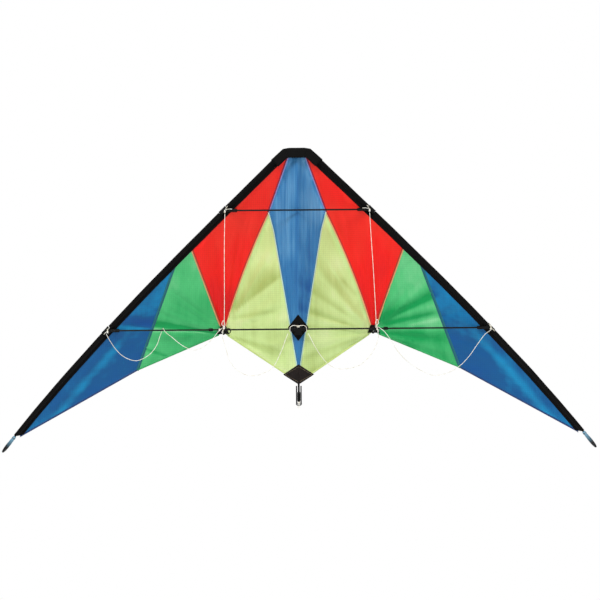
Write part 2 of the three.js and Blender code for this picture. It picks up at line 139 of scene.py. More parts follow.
# ripstop nylon, calendered: a faint square grid of thicker threads, soft upright streaks of painted sheen and
# shade.
# the grid is drawn at the real 5 mm, with threads coarse enough to show
ripstop = {"grid": 5 * mm, "line": 0.07, "gridShade": "#E2E2E2", "roughness": 0.5, "streak": 3.0,
           "crinkle": 55.0}


def ripstopNylon(name, light, middle, deep, stretch=(14, 14, 2.5), streakShare=0.4):
    material, tree, place = newMaterial(name)
    warp = addNode(tree, "Mapping", {"Scale": stretch, "Vector": place})
    streak = addNode(tree, "TexNoise", {"Scale": ripstop["streak"], "Detail": 6.0, "Roughness": 0.6,
                                        "Vector": warp})
    # the painted light and shade of each point, with the streaks, picks the colour from deep (painted shade)
    # through middle to light (painted light)
    held = addNode(tree, "Attribute", {"attribute_name": "tone"}).outputs["Fac"]
    mixed = addNode(tree, "Math", {"operation": "MULTIPLY_ADD", 0: streak, 1: streakShare, 2: held})
    tone = addNode(tree, "ValToRGB", {"stops": [(0.1, deep), (0.5, middle), (0.9, light)], "Fac": mixed})
    axes = addNode(tree, "SeparateXYZ", {0: place})
    across, upright = [repeated(tree, axes.outputs[axis], ripstop["grid"], ripstop["line"]) for axis in "XZ"]
    grid = addNode(tree, "Math", {"operation": "MAXIMUM", 0: across, 1: upright})
    thread = addNode(tree, "Mix", {"data_type": "RGBA", "blend_type": "MULTIPLY", 0: grid, 6: tone,
                                   7: linear(ripstop["gridShade"])})
    crinkle = addNode(tree, "TexNoise", {"Scale": ripstop["crinkle"], "Detail": 4.0, "Roughness": 0.55,
                                         "Vector": place})
    height = addNode(tree, "Math", {"operation": "MULTIPLY_ADD", 0: grid, 1: 0.25, 2: crinkle})
    finishMaterial(tree, thread.outputs[2], height, 0.16, 1.2 * mm,
                   {"Roughness": ripstop["roughness"], "IOR": 1.53, "Specular IOR Level": 0.25})
    return material


# two layers of the same cloth let less light through, so a seam or hem is painted deeper in colour, as painted
# shade;
# its far edge is painted paler, a painted highlight where the fold catches the light; a fine row of stitches
# runs along it
stitch = {"pitch": 3.2 * mm, "share": 0.62, "at": 0.3, "width": 0.09, "crinkle": 160.0}


def doubledCloth(name, deep, edge, thread, share=0.56):
    material, tree, place = newMaterial(name)
    uv = addNode(tree, "SeparateXYZ", {0: addNode(tree, "TexCoord").outputs["UV"]})
    # past the share across, the edge colour is a painted highlight along the fold's edge
    side = addNode(tree, "Math", {"operation": "GREATER_THAN", 0: uv.outputs["Y"], 1: share})
    base = addNode(tree, "Mix", {"data_type": "RGBA", 0: side, 6: linear(deep), 7: linear(edge)})
    row = addNode(tree, "Math", {"operation": "COMPARE", 0: uv.outputs["Y"], 1: stitch["at"],
                                  2: stitch["width"]})
    dash = repeated(tree, uv.outputs["X"], stitch["pitch"], stitch["share"])
    sewn = addNode(tree, "Math", {"operation": "MULTIPLY", 0: row, 1: dash})
    colour = addNode(tree, "Mix", {"data_type": "RGBA", 0: sewn, 6: base.outputs[2], 7: linear(thread)})
    crinkle = addNode(tree, "TexNoise", {"Scale": stitch["crinkle"], "Detail": 3.0, "Vector": place})
    height = addNode(tree, "Math", {"operation": "MULTIPLY_ADD", 0: sewn, 1: 0.8, 2: crinkle})
    finishMaterial(tree, colour.outputs[2], height, 0.3, 0.6 * mm,
                   {"Roughness": 0.5, "IOR": 1.53, "Specular IOR Level": 0.4})
    return material


# plain-woven polyester, black: matt, with a weave that catches a little light
def wovenPolyester(name, dark, light, thread, roughness=0.75, sheen=0.15):
    material, tree, place = newMaterial(name)
    turned = addNode(tree, "Mapping", {"Rotation": (0, math.radians(45), 0), "Vector": place})
    warp, weft = [addNode(tree, "TexWave", {"Scale": waveScale(thread), "Distortion": 0.4,
                                            "wave_profile": "SIN", "bands_direction": axis,
                                            "Vector": turned}).outputs["Fac"]
                  for axis in "XZ"]
    both = addNode(tree, "Math", {"operation": "MULTIPLY", 0: warp, 1: weft})
    wear = addNode(tree, "TexNoise", {"Scale": 22.0, "Detail": 5.0, "Roughness": 0.6, "Vector": place})
    tone = addNode(tree, "ValToRGB", {"stops": [(0.35, dark), (0.7, light)], "Fac": wear})
    finishMaterial(tree, tone, both, 0.4, 0.4 * mm,
                   {"Roughness": roughness, "IOR": 1.5, "Sheen Weight": sheen, "Sheen Roughness": 0.5,
                    "Specular IOR Level": 0.12})
    return material


# pultruded glass-fibre rod: black, satin, with fine lines along the pull
def pultrudedRod(name, dark, light, roughness):
    material, tree, place = newMaterial(name)
    pull = addNode(tree, "Mapping", {"Scale": (4, 900, 900), "Vector": place})
    lines = addNode(tree, "TexNoise", {"Scale": 1.0, "Detail": 3.0, "Vector": pull})
    tone = addNode(tree, "ValToRGB", {"stops": [(0.35, dark), (0.7, light)], "Fac": lines})
    finishMaterial(tree, tone, lines, 0.15, 0.2 * mm,
                   {"Roughness": roughness, "IOR": 1.52, "Specular IOR Level": 0.22})
    return material


# moulded vinyl and rubber: a fine spark-eroded grain, matt where it is handled
def mouldedPlastic(name, dark, light, roughness, grain=0.9 * mm):
    material, tree, place = newMaterial(name)
    pits = addNode(tree, "TexNoise", {"Scale": 1 / grain, "Detail": 3.0, "Vector": place})
    haze = addNode(tree, "TexNoise", {"Scale": 60.0, "Detail": 4.0, "Vector": place})
    tone = addNode(tree, "ValToRGB", {"stops": [(0.35, dark), (0.7, light)], "Fac": haze})
    rough = addNode(tree, "MapRange", {"To Min": roughness - 0.08, "To Max": roughness + 0.1, "Value": haze})
    finishMaterial(tree, tone, pits, 0.25, 0.2 * mm,
                   {"Roughness": rough, "IOR": 1.5, "Specular IOR Level": 0.16})
    return material


# braided polyester line: strands cross along its length, with painted shade in the grooves between them
def braidedLine(name, light, dark, pitch=2.0 * mm, sheen=0.2, specular=0.5):
    material, tree, place = newMaterial(name)
    turned = addNode(tree, "Mapping", {"Rotation": (math.radians(35), math.radians(45), 0), "Vector": place})
    strands = addNode(tree, "TexWave", {"Scale": waveScale(pitch), "Distortion": 1.0,
                                        "Vector": turned}).outputs["Fac"]
    tone = addNode(tree, "ValToRGB", {"stops": [(0.1, dark), (0.6, light)], "Fac": strands})
    finishMaterial(tree, tone, strands, 0.4, 0.3 * mm,
                   {"Roughness": 0.65, "IOR": 1.5, "Sheen Weight": sheen, "Specular IOR Level": specular})
    return material


# wing-tip nock: smoke-blue moulding with a painted highlight: pale where it grips the rod and near black at the
# end
def tintedPlastic(name, pale, dark, roughness):
    material, tree, place = newMaterial(name)
    shade = addNode(tree, "Attribute", {"attribute_name": "tone"}).outputs["Fac"]
    tone = addNode(tree, "ValToRGB", {"stops": [(0.05, pale), (0.62, dark)], "Fac": shade})
    grain = addNode(tree, "TexNoise", {"Scale": 900.0, "Detail": 3.0, "Vector": place})
    finishMaterial(tree, tone, grain, 0.2, 0.2 * mm,
                   {"Roughness": roughness, "IOR": 1.5, "Specular IOR Level": 0.4})
    return material


materials = {
    # ripstop colours: painted light, middle and painted shade of one dye
    "skyBlue": ripstopNylon("sky blue ripstop nylon", "#6EACD7", "#357BB2", "#1A5697", (40, 40, 1.2), 0.8),
    "red": ripstopNylon("red ripstop nylon", "#FD3220", "#FD150E", "#DE0912"),
    "lime": ripstopNylon("yellow-green ripstop nylon", "#F2F7C6", "#D1E999", "#A8BD65"),
    "green": ripstopNylon("green ripstop nylon", "#97E2A8", "#51C87C", "#029F52"),
    "wingBlue": ripstopNylon("deep blue ripstop nylon", "#038DC4", "#015A96", "#01519A"),
    # seam and hem colours: doubled cloth as painted shade, the fold's edge as painted highlight, and thread
    "redBlueSeam": doubledCloth("red over blue seam", "#9A1030", "#8E9AD8", "#860C26"),
    "redLimeSeam": doubledCloth("red over yellow-green seam", "#C8261A", "#F2B27C", "#B01C14"),
    "redGreenSeam": doubledCloth("red over green seam", "#B8321C", "#D9A06C", "#A02414"),
    "blueLimeSeam": doubledCloth("blue over yellow-green seam", "#2F74A4", "#C6E6CE", "#2A6898"),
    "blueGreenSeam": doubledCloth("blue over green seam", "#0A6070", "#0D6C74", "#0A5470"),
    "limeHem": doubledCloth("yellow-green hem", "#D0E48A", "#D6E998", "#BED278", 0.8),
    "greenHem": doubledCloth("green hem", "#22A458", "#34B468", "#1C9650", 0.8),
    "blueHem": doubledCloth("deep blue hem", "#0A3A74", "#0C4480", "#082E60", 0.8),
    "sleeve": wovenPolyester("black polyester sleeve", "#040303", "#0A0808", 0.7 * mm, 0.8, 0.03),
    "webbing": wovenPolyester("black nylon webbing", "#040404", "#0A0909", 1.6 * mm, 0.75, 0.03),
    "patch": wovenPolyester("black laminated patch", "#040404", "#0A0A0A", 1.0 * mm, 0.7, 0.03),
    "tailPatch": wovenPolyester("dark brown laminated patch", "#120D0B", "#221916", 1.0 * mm, 0.6),
    "tanThread": braidedLine("tan bonded thread", "#A08E6C", "#6E6048", 0.8 * mm),
    "blackThread": braidedLine("black bonded thread", "#141416", "#070708", 0.8 * mm, 0.02, 0.1),
    "rod": pultrudedRod("black pultruded glass-fibre rod", "#030303", "#0B0B0B", 0.35),
    "vinyl": mouldedPlastic("black moulded vinyl", "#030303", "#0A0A0B", 0.45),
    "rubber": mouldedPlastic("black moulded rubber", "#040404", "#0C0B0B", 0.5),
    "tip": tintedPlastic("smoke-blue moulded nock", "#6FA2BC", "#05080C", 0.28),
    "steel": mouldedPlastic("drawn steel ferrule", "#8C9096", "#B4B8BE", 0.3),
    "whipping": braidedLine("grey-blue whipping twine", "#86A6B8", "#54707F", 0.9 * mm),
    "line": braidedLine("cream braided line", "#FFFDF4", "#EAE4D0"),
    "elastic": braidedLine("black shock cord", "#0E0E10", "#040405", 2.4 * mm, 0.02, 0.1),
}
print("materials made")


# one way to place every piece: a mesh, its finish, the body it rides on and the CAD nodes it replaces
def makePiece(name, mesh, finish, body, slot, stands=()):
    mesh.name = name
    piece = bpy.data.objects.new(name, mesh)
    bpy.context.collection.objects.link(piece)
    mesh.materials.clear()
    mesh.materials.append(materials[finish])
    if body:
        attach(piece, body)
    if stands:
        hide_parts(*stands)
    return piece


def meshFrom(points, faces, uvs=None):
    mesh = bpy.data.meshes.new("mesh")
    mesh.from_pydata([tuple(Vector(p) * mm) for p in points], [], faces)
    if uvs:
        layer = mesh.uv_layers.new(name="uv")
        for loop in mesh.loops:
            layer.data[loop.index].uv = uvs[loop.vertex_index]
    mesh.shade_smooth()
    return mesh


# a grid of points, as (row, column), with faces turned towards the pilot on both wings
def gridMesh(rows, columns, pointAt, sign=1, keep=None, uvAt=None):
    points, faces, uvs = [], [], []
    for row in range(rows + 1):
        for column in range(columns + 1):
            x, y, z = pointAt(row / rows, column / columns)
            points.append((x * sign, y, z))
            uvs.append(uvAt(row / rows, column / columns) if uvAt else (column / columns, row / rows))
    for row in range(rows):
        for column in range(columns):
            if keep and not keep(row, column):
                continue
            a = row * (columns + 1) + column
            quad = (a, a + columns + 1, a + columns + 2, a + 1)
            faces.append(quad if sign > 0 else quad[::-1])
    return meshFrom(points, faces, uvs)


def thicken(piece, thickness, offset=0.0):
    layer = piece.modifiers.new("thickness", "SOLIDIFY")
    layer.thickness, layer.offset, layer.use_rim = thickness * mm, offset, True
    return piece


def roundEdges(piece, width, segments):
    rounding = piece.modifiers.new("rounding", "BEVEL")
    rounding.width, rounding.segments = width * mm, segments


# applies a piece's modifiers to its mesh, so later steps work on the final mesh
def applyModifiers(piece):
    graph = bpy.context.evaluated_depsgraph_get()
    mesh = bpy.data.meshes.new_from_object(piece.evaluated_get(graph), depsgraph=graph)
    old = piece.data
    piece.modifiers.clear()
    piece.data = mesh
    bpy.data.meshes.remove(old)
    return piece


# joins points closer than a gap; crisp turns faces outward and sharpens edges beyond that many degrees
def weld(mesh, gap, crisp=None):
    work = bmesh.new()
    work.from_mesh(mesh)
    bmesh.ops.remove_doubles(work, verts=work.verts, dist=gap)
    if crisp:
        bmesh.ops.recalc_face_normals(work, faces=work.faces)
        for edge in work.edges:
            if len(edge.link_faces) == 2 and edge.calc_face_angle(0) > math.radians(crisp):
                edge.smooth = False
    work.to_mesh(mesh)
    work.free()
    return mesh


def axesAlong(direction):
    up = Vector(direction).normalized()
    across = up.orthogonal().normalized()
    return up, across, up.cross(across)


def ringPoints(centre, across, third, radius, count):
    angles = [2 * math.pi * i / count for i in range(count)]
    return [centre + (across * math.cos(a) + third * math.sin(a)) * radius for a in angles]


# faces between rings of point numbers
def bridgeRings(rings):
    faces = []
    for first, second in zip(rings, rings[1:]):
        for i in range(len(first)):
            j = (i + 1) % len(first)
            faces.append(tuple(dict.fromkeys((first[i], first[j], second[j], second[i]))))
    return faces


def cappedRings(start, end, segments):
    rings = [list(range(i, i + segments)) for i in range(start, end, segments)]
    return bridgeRings(rings) + [tuple(rings[0])[::-1], tuple(rings[-1])]


# a solid turned about the line from a point along a direction; profile is (radius, distance) pairs
def turnedMesh(profile, origin, direction, segments=28):
    up, across, third = axesAlong(direction)
    points, rings = [], []
    for radius, distance in profile:
        centre = Vector(origin) + up * distance
        start = len(points)
        if radius < 1e-6:
            rings.append([start] * segments)
            points.append(centre)
        else:
            rings.append(list(range(start, start + segments)))
            points += ringPoints(centre, across, third, radius, segments)
    return weld(meshFrom(points, bridgeRings(rings)), 1e-7, 38)


# a closed ring profile with rounded corners, for sleeves, collars and rings
def collarProfile(inner, outer, length, rounding, start=0.0):
    low = [(outer - rounding + rounding * math.sin(math.pi / 2 * s),
            start + rounding - rounding * math.cos(math.pi / 2 * s)) for s in (0, 0.3, 0.7, 1)]
    high = [(r, start + length - (a - start)) for r, a in reversed(low)]
    return [(inner, start)] + low + high + [(inner, start + length), (inner, start)]


def joinMeshes(meshes):
    work = bmesh.new()
    for mesh in meshes:
        work.from_mesh(mesh)
    joined = bpy.data.meshes.new("mesh")
    work.to_mesh(joined)
    work.free()
    return joined


# a cord or line: a tube along a line of points, as a curve of one open spline
def linePiece(name, points, diameter, body, stands=(), finish="line", slot="cord"):
    curve = bpy.data.curves.new(name, "CURVE")
    curve.dimensions = "3D"
    curve.bevel_depth = diameter / 2 * mm
    curve.bevel_resolution = 3
    curve.use_fill_caps = True
    spline = curve.splines.new("POLY")
    spline.points.add(len(points) - 1)
    for target, point in zip(spline.points, points):
        target.co = (*(Vector(point) * mm), 1)
    spline.use_smooth = True
    return makePiece(name, curve, finish, body, slot, stands)


# a tube along a line of points, as a mesh
def tubeMesh(line, radius, segments=12):
    line = [Vector(p) for p in line]
    across = (line[1] - line[0]).normalized().orthogonal().normalized()
    points = []
    for i, centre in enumerate(line):
        way = (line[min(i + 1, len(line) - 1)] - line[max(i - 1, 0)]).normalized()
        across = (across - way * across.dot(way)).normalized()
        points += ringPoints(centre, across, way.cross(across), radius, segments)
    mesh = meshFrom(points, cappedRings(0, len(points), segments))
    for polygon in list(mesh.polygons)[-2:]:
        polygon.use_smooth = False
    return mesh


# a row of stitches: short raised threads along a line, joined into one mesh
def stitches(name, line, finish, body, slot, pitch=4.2, share=0.66, thread=0.32):
    line = [Vector(p) for p in line]
    lengths = [0.0]
    for a, b in zip(line, line[1:]):
        lengths.append(lengths[-1] + (b - a).length)

    def place(distance):
        i = 1
        while i < len(lengths) - 1 and lengths[i] < distance:
            i += 1
        t = (distance - lengths[i - 1]) / max(lengths[i] - lengths[i - 1], 1e-9)
        return line[i - 1].lerp(line[i], t)

    points, faces = [], []
    segments, endThread = 5, thread * 0.45
    for n in range(int(lengths[-1] / pitch)):
        centres = [place((n + a) * pitch) for a in (0, share / 2, share)]
        _, across, third = axesAlong(centres[2] - centres[0])
        start = len(points)
        for centre, radius in zip(centres, (endThread, thread, endThread)):
            points += ringPoints(centre, across, third, radius, segments)
        faces += cappedRings(start, len(points), segments)
    return makePiece(name, meshFrom(points, faces), finish, body, slot)


def bendWithWing(piece, side):
    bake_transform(piece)


# centripetal curve through points
def throughPoints(points, each=8):
    points = [Vector(p) for p in points]
    ends = [points[0] * 2 - points[1]] + points + [points[-1] * 2 - points[-2]]
    line = []
    for i in range(1, len(ends) - 2):
        p = ends[i - 1:i + 3]
        t = [0.0]
        for a, b in zip(p, p[1:]):
            t.append(t[-1] + max((b - a).length, 1e-6) ** 0.5)
        for step in range(each):
            s = t[1] + (t[2] - t[1]) * step / each
            first = [(p[k] * (t[k + 1] - s) + p[k + 1] * (s - t[k])) / (t[k + 1] - t[k]) for k in range(3)]
            second = [(first[k] * (t[k + 2] - s) + first[k + 1] * (s - t[k])) / (t[k + 2] - t[k])
                      for k in range(2)]
            line.append((second[0] * (t[2] - s) + second[1] * (s - t[1])) / (t[2] - t[1]))
    return line + [points[-1]]


def pathLength(line):
    return sum((b - a).length for a, b in zip(line, line[1:]))


# bridle: three slack legs a side, through these points, from the frame to the tow knot
bridle = {
    "diameter": 1.4,
    "left": {
        "knot": (-186, -9.4, -449),
        "upper": [(-181.5, -6.8, -164), (-183.4, -7.6, -240), (-184, -8, -330), (-184.6, -8.6, -400),
                  (-185.6, -9.2, -443.4)],
        "outer": [(-482, -7.2, -462), (-474, -7.6, -477), (-459, -7.2, -500), (-444, -6.4, -516),
                  (-425, -5.4, -527), (-406, -4.4, -530.6), (-386.6, -3, -524), (-369, -1, -511),
                  (-355, 1.6, -491), (-347, 3.6, -468), (-343, 4.6, -458), (-341, 4, -452.2),
                  (-339.4, 0, -449.9), (-337.4, -4, -452.2), (-335, -5, -457), (-328, -5.2, -464),
                  (-317.6, -5.6, -472), (-300, -6.4, -487), (-282, -7, -498.6), (-265, -7.4, -504.8),
                  (-247.6, -7.8, -502.4), (-228, -8.4, -489.6), (-211, -9, -473), (-200, -9.4, -459),
                  (-190.4, -9.4, -450.6)],
        "inner": [(-187.6, -9.6, -454.6), (-190, -9.6, -472), (-182, -9, -500), (-174, -8.4, -530),
                  (-160, -7.8, -551), (-141, -7.2, -565), (-121, -6.8, -570.4), (-101, -6.8, -569.4),
                  (-85, -6.8, -563), (-70, -6.8, -555), (-59, -6.8, -543), (-49, -6.8, -523),
                  (-40, -6.8, -503), (-33, -6.8, -483), (-26, -6.8, -466)],
    },
    "right": {
        "knot": (196, -9.4, -449),
        "upper": [(181.5, -6.8, -164), (185, -7.6, -230), (189.6, -8, -310), (193, -8.6, -380),
                  (195.6, -9.2, -443.4)],
        "outer": [(482, -7.2, -462), (469, -7.6, -471), (450, -7.8, -495), (428, -7.8, -526),
                  (405, -7.8, -549.6), (380, -7.8, -565), (356, -7.8, -572.4), (335, -7.8, -573.4),
                  (313, -7.8, -564.6), (287, -7.8, -548.6), (264, -8, -530), (245, -8.4, -507),
                  (230, -8.8, -482), (216, -9.2, -463), (200.6, -9.4, -450.8)],
        "inner": [(197.6, -9.6, -454.6), (200.6, -9.6, -472), (197, -9.2, -491), (187, -8.8, -512),
                  (171, -8.2, -532), (152, -7.6, -547), (125, -7, -554.6), (101, -6.8, -555.2),
                  (83, -6.8, -549), (69, -6.8, -538), (54, -6.8, -519), (41, -6.8, -498),
                  (31, -6.8, -478), (25, -6.8, -466)],
    },
}
# short ends that hang from each tow knot, measured from it
towTails = (((0, -1.4, 3), (5.2, -2.4, 7), (4, -2.6, 13), (2, -2.6, 17), (-1.4, -2.6, 12), (-2.4, -2.4, 6),
             (0, -1.6, 2)),
            ((0.6, -1.4, -3), (3.8, -2.4, -9), (5.4, -2.2, -14)))


# a loop of line round a centre, level with the depth and height; drift spreads its turns along a way
def loopLine(centre, radiusA, radiusB, turns=1.0, drift=(0, 0, 0), steps=22, start=0.0, wayA=(0, 1, 0)):
    a, b, d = Vector(wayA).normalized(), Vector((0, 0, 1)), Vector(drift)
    line = []
    count = int(steps * turns)
    for i in range(count + 1):
        angle = start + 2 * math.pi * turns * i / count
        line.append(Vector(centre) + a * radiusA * math.cos(angle) + b * radiusB * math.sin(angle)
                    + d * (i / count - 0.5))
    return line


# a doubled overhand knot drawn as a few tight turns over the standing line
knot = {"turns": 3.2, "steps": 60, "length": 6.2, "radius": 1.5, "swell": 0.5}


def knotPiece(name, centre, way, body, size=1.0):
    up, across, third = axesAlong(way)
    line = []
    for i in range(knot["steps"] + 1):
        share = i / knot["steps"]
        angle = 2 * math.pi * knot["turns"] * i / knot["steps"]
        swell = (knot["radius"] + knot["swell"] * math.sin(math.pi * i / knot["steps"])) * size
        line.append(Vector(centre) + up * ((share - 0.5) * knot["length"] * size)
                    + (across * math.cos(angle) + third * math.sin(angle)) * swell)
    return linePiece(name, line, bridle["diameter"], body)


def makeBridle():
    for side, sign in sides:
        body, route = side + "_wing", bridle[side]
        at = Vector(route["knot"])
        towKnot = knotPiece(side + "TowKnot", at, (0, 0, 1), body, 1.25)
        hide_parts(side + "_tow_knot")
        tails = [linePiece(f"{side}TowTail{n}", throughPoints([at + mirrored(p, sign) for p in tail]),
                           bridle["diameter"], body) for n, tail in enumerate(towTails)]
        for name in ("upper", "outer", "inner"):
            line = throughPoints(route[name])
            cord = linePiece(side + "Bridle" + name.title(), line, bridle["diameter"], body,
                             (f"{side}_bridle_{name}",))
            round(pathLength(line) * mm, 3)


makeBridle()

# line tied over the tee and round its arms, in two halves
teeTie = {
    "half": [(0, -6.6, -447.6), (6, -6.6, -446), (14, -7, -446), (20, -7.4, -450), (21, -7.2, -457),
             (20.6, -5.2, -461), (19.6, 0, -462.6), (18.6, 4.6, -460.4), (18, 6.8, -456)],
    "knot": (0, -7.6, -448.2),
}


def makeTeeTie():
    for side, sign in sides:
        line = throughPoints([mirrored(p, sign) for p in teeTie["half"]])
        tie = makePiece(side + "TeeTie", tubeMesh(line, bridle["diameter"] / 2), "line", None, "cord")
        bendWithWing(tie, side)
        round(pathLength(line) * mm, 4)
    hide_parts("tee_tie")
    knotPiece("teeTieKnot", teeTie["knot"], (1, 0, 0.1), "spine", 1.15)


makeTeeTie()
print("bridle made")


# the kite's plan, in millimetres: drop below the nose strap, distance from the spine, depth behind the frame
plan = {
    "edgeStart": 31.5, "edgeSlope": 1.035, "edgeBow": 1.5e-7,  # leading edge: half width against drop
    "tipDrop": 724, "lowerDrop": 455, "upperDrop": 156, "tailDrop": 590, "noseDrop": 27,
    "standoffX": 191, "standoffDrop": 467, "sailDepth": 110, "creaseY": 6.5, "sailEdgeY": 5.4,
    "rodInset": 4.6, "sleeveWidth": 20.6, "sleeveTaper": 0.3, "spineY": 12.2,
    "rodRadius": 2.5, "spreaderRadius": 2.0, "standoffRadius": 1.5,
    "edgeCosine": 0.69, "edgeStretch": 1.43,  # leading edge: its slant, and its length against drop
}


def halfWidth(drop):
    return plan["edgeStart"] + plan["edgeSlope"] * drop - plan["edgeBow"] * drop ** 3


def spread(drop):
    return plan["edgeSlope"] - 3 * plan["edgeBow"] * drop ** 2


# a place on the right wing a distance inward of the sleeve's outer edge
def edgePoint(drop, inward, y=0.0):
    length = math.hypot(1, spread(drop))
    return Vector((halfWidth(drop) - inward / length, y, -drop - inward * spread(drop) / length))


def edgeDirection(drop):
    return Vector((spread(drop), 0, -1)).normalized()


def clothWidth(drop):
    rounded = plan["rodInset"] + 5
    return rounded + (plan["sleeveWidth"] - rounded) * (1 - plan["sleeveTaper"] * drop / plan["tipDrop"])


# how far in a place across the sleeve lies as it narrows towards the tip
def tapered(inward, drop):
    return 5 + (inward - 5) * (1 - plan["sleeveTaper"] * drop / plan["tipDrop"])


# points of the leading edge rod's line between two drops
def edgeRodLine(first, last, steps, sign):
    return [mirrored(edgePoint(mix(first, last, i / steps), plan["rodInset"]), sign) for i in range(steps + 1)]


def edgeKnot(drop, under=2.5):
    at = edgePoint(drop, clothWidth(drop) - under)
    return (at.x, -at.z)


def dropLevelWith(level):
    drop = level
    for _ in range(20):
        drop += level + edgePoint(drop, plan["rodInset"]).z
    return drop


def beyondEdge(u, drop):
    near = drop - clothWidth(drop) * 0.7
    return u > edgePoint(near, clothWidth(near)).x


def sailBoundary(u, drop):
    awayU, awayDrop = u - plan["standoffX"], drop - plan["standoffDrop"]
    spineReach = plan["standoffX"] / -awayU if awayU < 0 else math.inf

    def beyond(share):
        return beyondEdge(plan["standoffX"] + awayU * share, plan["standoffDrop"] + awayDrop * share)

    high = 1.0
    while not beyond(high) and high < spineReach:
        high *= 1.1
    if not beyond(high):
        return 1 / spineReach, plan["creaseY"]
    low = 0.0
    for _ in range(18):
        middle = (low + high) / 2
        if beyond(middle):
            high = middle
        else:
            low = middle
    if low > spineReach:
        return 1 / spineReach, plan["creaseY"]
    return 1 / max(low, 1e-6), plan["sailEdgeY"]


# the cloth between the standoffs, the sleeves and the spine: straight rays, eased a little, with creases
cloth = {
    "thickness": 0.25,
    "rayHeight": 5.5, "rayCount": 4.2,    # creases that run out from each standoff
    "belly": 5.0,                         # how far the cloth bows back between its held edges
    "slack": 1.5,                         # broad unevenness
    "pucker": 0.9, "puckerPitch": 21,     # gathers along the sleeve's stitching
    "foldHeight": 5.0,                    # how far a fold of full shade stands back
    "fold": 1.3,                          # upright folds in the centre panel
    "tipFold": 3.2, "tipFoldAt": 34,      # a long fold beside the sleeve towards the wing tip
}
seeds = {"left": 3.7, "right": 11.3, "spine": 7.1}

# folds that run out from each standoff: angle up from level and outward, how fast it fades to each side
# in degrees, depth of shade (below nought is lighter), and where it starts and ends
folds = {
    "left": [(9.2, 2.8, 2.8, 0.6, 15, 300), (4.3, 1.8, 1.7, -0.4, 15, 360), (30, 22, 16, 0.1, 10, 190),
             (197.5, 3, 8, 0.26, 25, 190), (212, 3, 6, -0.12, 60, 260), (95, 10, 10, -0.1, 150, 420)],
    "right": [(44, 4, 5, -0.12, 50, 260), (-5, 4, 5, 0.14, 20, 260), (-14, 3, 4, -0.1, 40, 240),
              (129, 10, 3, 0.22, 70, 330), (145, 5, 2.5, 0.22, 70, 300), (161, 5, 2.5, 0.22, 50, 330),
              (174, 3, 2, 0.2, 50, 300), (199, 3, 5, 0.18, 40, 240), (212, 4, 3, 0.2, 60, 260)],
}
# creases that don't start at a standoff: two ends as half width and drop, how far it fades above and
# below, and depth of painted shade (below nought is painted lighter)
creases = {
    "left": [(170, 412, 45, 321, 42, 3.5, 0.34), (162, 428, 58, 411, 9, 3, 0.24),
             (398, 499, 334, 522, 3, 4, 0.3)],
    "right": [(212, 437, 348, 374, 18, 5, 0.42), (218, 447, 350, 417, 8, 4.5, 0.44),
              (284, 449, 360, 433, 4, 4, -0.28), (250, 425, 345, 396, 6, 6, -0.1),
              (150, 372, 112, 330, 6, 5, 0.16)],
}


def creaseAt(u, drop, side):
    total = 0.0
    for u1, drop1, u2, drop2, above, below, depth in creases[side]:
        wayU, wayDrop = u2 - u1, drop2 - drop1
        length = math.hypot(wayU, wayDrop)
        share = ((u - u1) * wayU + (drop - drop1) * wayDrop) / length ** 2
        aside = ((drop - drop1) * wayU - (u - u1) * wayDrop) / length * (1 if wayU > 0 else -1)
        shape = math.exp(-(aside / (below if aside > 0 else above)) ** 2)
        total += depth * shape * smoothStep(-0.15, 0.15, share) * (1 - smoothStep(0.85, 1.12, share))
    return total


def foldAt(u, drop, side):
    awayU, awayDrop = u - plan["standoffX"], drop - plan["standoffDrop"]
    reach = math.hypot(awayU, awayDrop)
    angle = math.degrees(math.atan2(-awayDrop, awayU))
    total = creaseAt(u, drop, side)
    for turn, before, after, depth, first, last in folds[side]:
        aside = (angle - turn + 180) % 360 - 180
        width = before if aside < 0 else after
        shape = math.exp(-(aside / width) ** 2)
        window = smoothStep(first * 0.5, first * 1.6, reach) * (1 - smoothStep(last * 0.6, last, reach))
        total += depth * shape * window
    return total


# painted light and shade on the cloth, over a little random tone: painted shade where it is drawn down to a
# standoff or folded, painted light along a fold's back
def paintedLightAndShadeAt(u, drop, side, panelName):
    u = abs(u)
    seed = seeds[side]
    reach = math.hypot(u - plan["standoffX"], drop - plan["standoffDrop"])
    tone = 0.3 + 0.16 * noise.noise(Vector((u / 60, drop / 60, seed + 5))) - foldAt(u, drop, side)
    # painted shade close to the standoff, painted light further out
    if panelName == "Red":
        tone += 0.42 * (smoothStep(10, 330, reach) - 0.5)
    # painted shade close to the standoff and low on the panel, painted light further out
    if panelName == "Green":
        tone += 0.32 * (smoothStep(40, 330, reach) - 0.4)
        tone -= (0.3 if side == "right" else 0.12) * smoothStep(452, 470, drop)
    # painted light along a streak beside the sleeve, near the top and at the tip; painted shade further in, and
    # painted wrinkle shading
    if panelName == "Blue":
        inward = (halfWidth(drop) - u) * plan["edgeCosine"]
        streakAt = 40 if side == "right" else 48
        streak = math.exp(-((inward - streakAt) / 9) ** 2)
        streak *= smoothStep(400, 480, u) * (1 - smoothStep(610, 700, u))
        wrinkleShade = noise.noise(Vector((u / 26 + drop / 60, drop / 9 - u / 22, seed)))
        tone += 0.34 * streak - 0.13 * smoothStep(52, 105, inward) + 0.1 * wrinkleShade * smoothStep(20, 50, inward)
        tone += 0.22 * (1 - smoothStep(400, 452, drop)) + 0.2 * smoothStep(640, 710, drop)
    # darker overall, with painted shade along the spine behind the cloth and painted light towards the nose
    if panelName == "Centre":
        tone -= 0.2
        tone -= 0.16 * math.exp(-(u / 6) ** 2) * (1 - smoothStep(230, 420, drop))
        tone += 0.2 * (1 - smoothStep(60, 420, drop)) - 0.06
    return tone


def ridged(value):
    return 1 - abs(value) * 2


sailPlaces = {}


def sailPlace(u, drop):
    key = (round(u, 2), round(drop, 2))
    if key not in sailPlaces:
        if math.hypot(u - plan["standoffX"], drop - plan["standoffDrop"]) < 1e-3:
            sailPlaces[key] = (0.0, plan["sailDepth"])
        else:
            share, depth = sailBoundary(u, drop)
            sailPlaces[key] = (min(share, 1), depth)
    return sailPlaces[key]


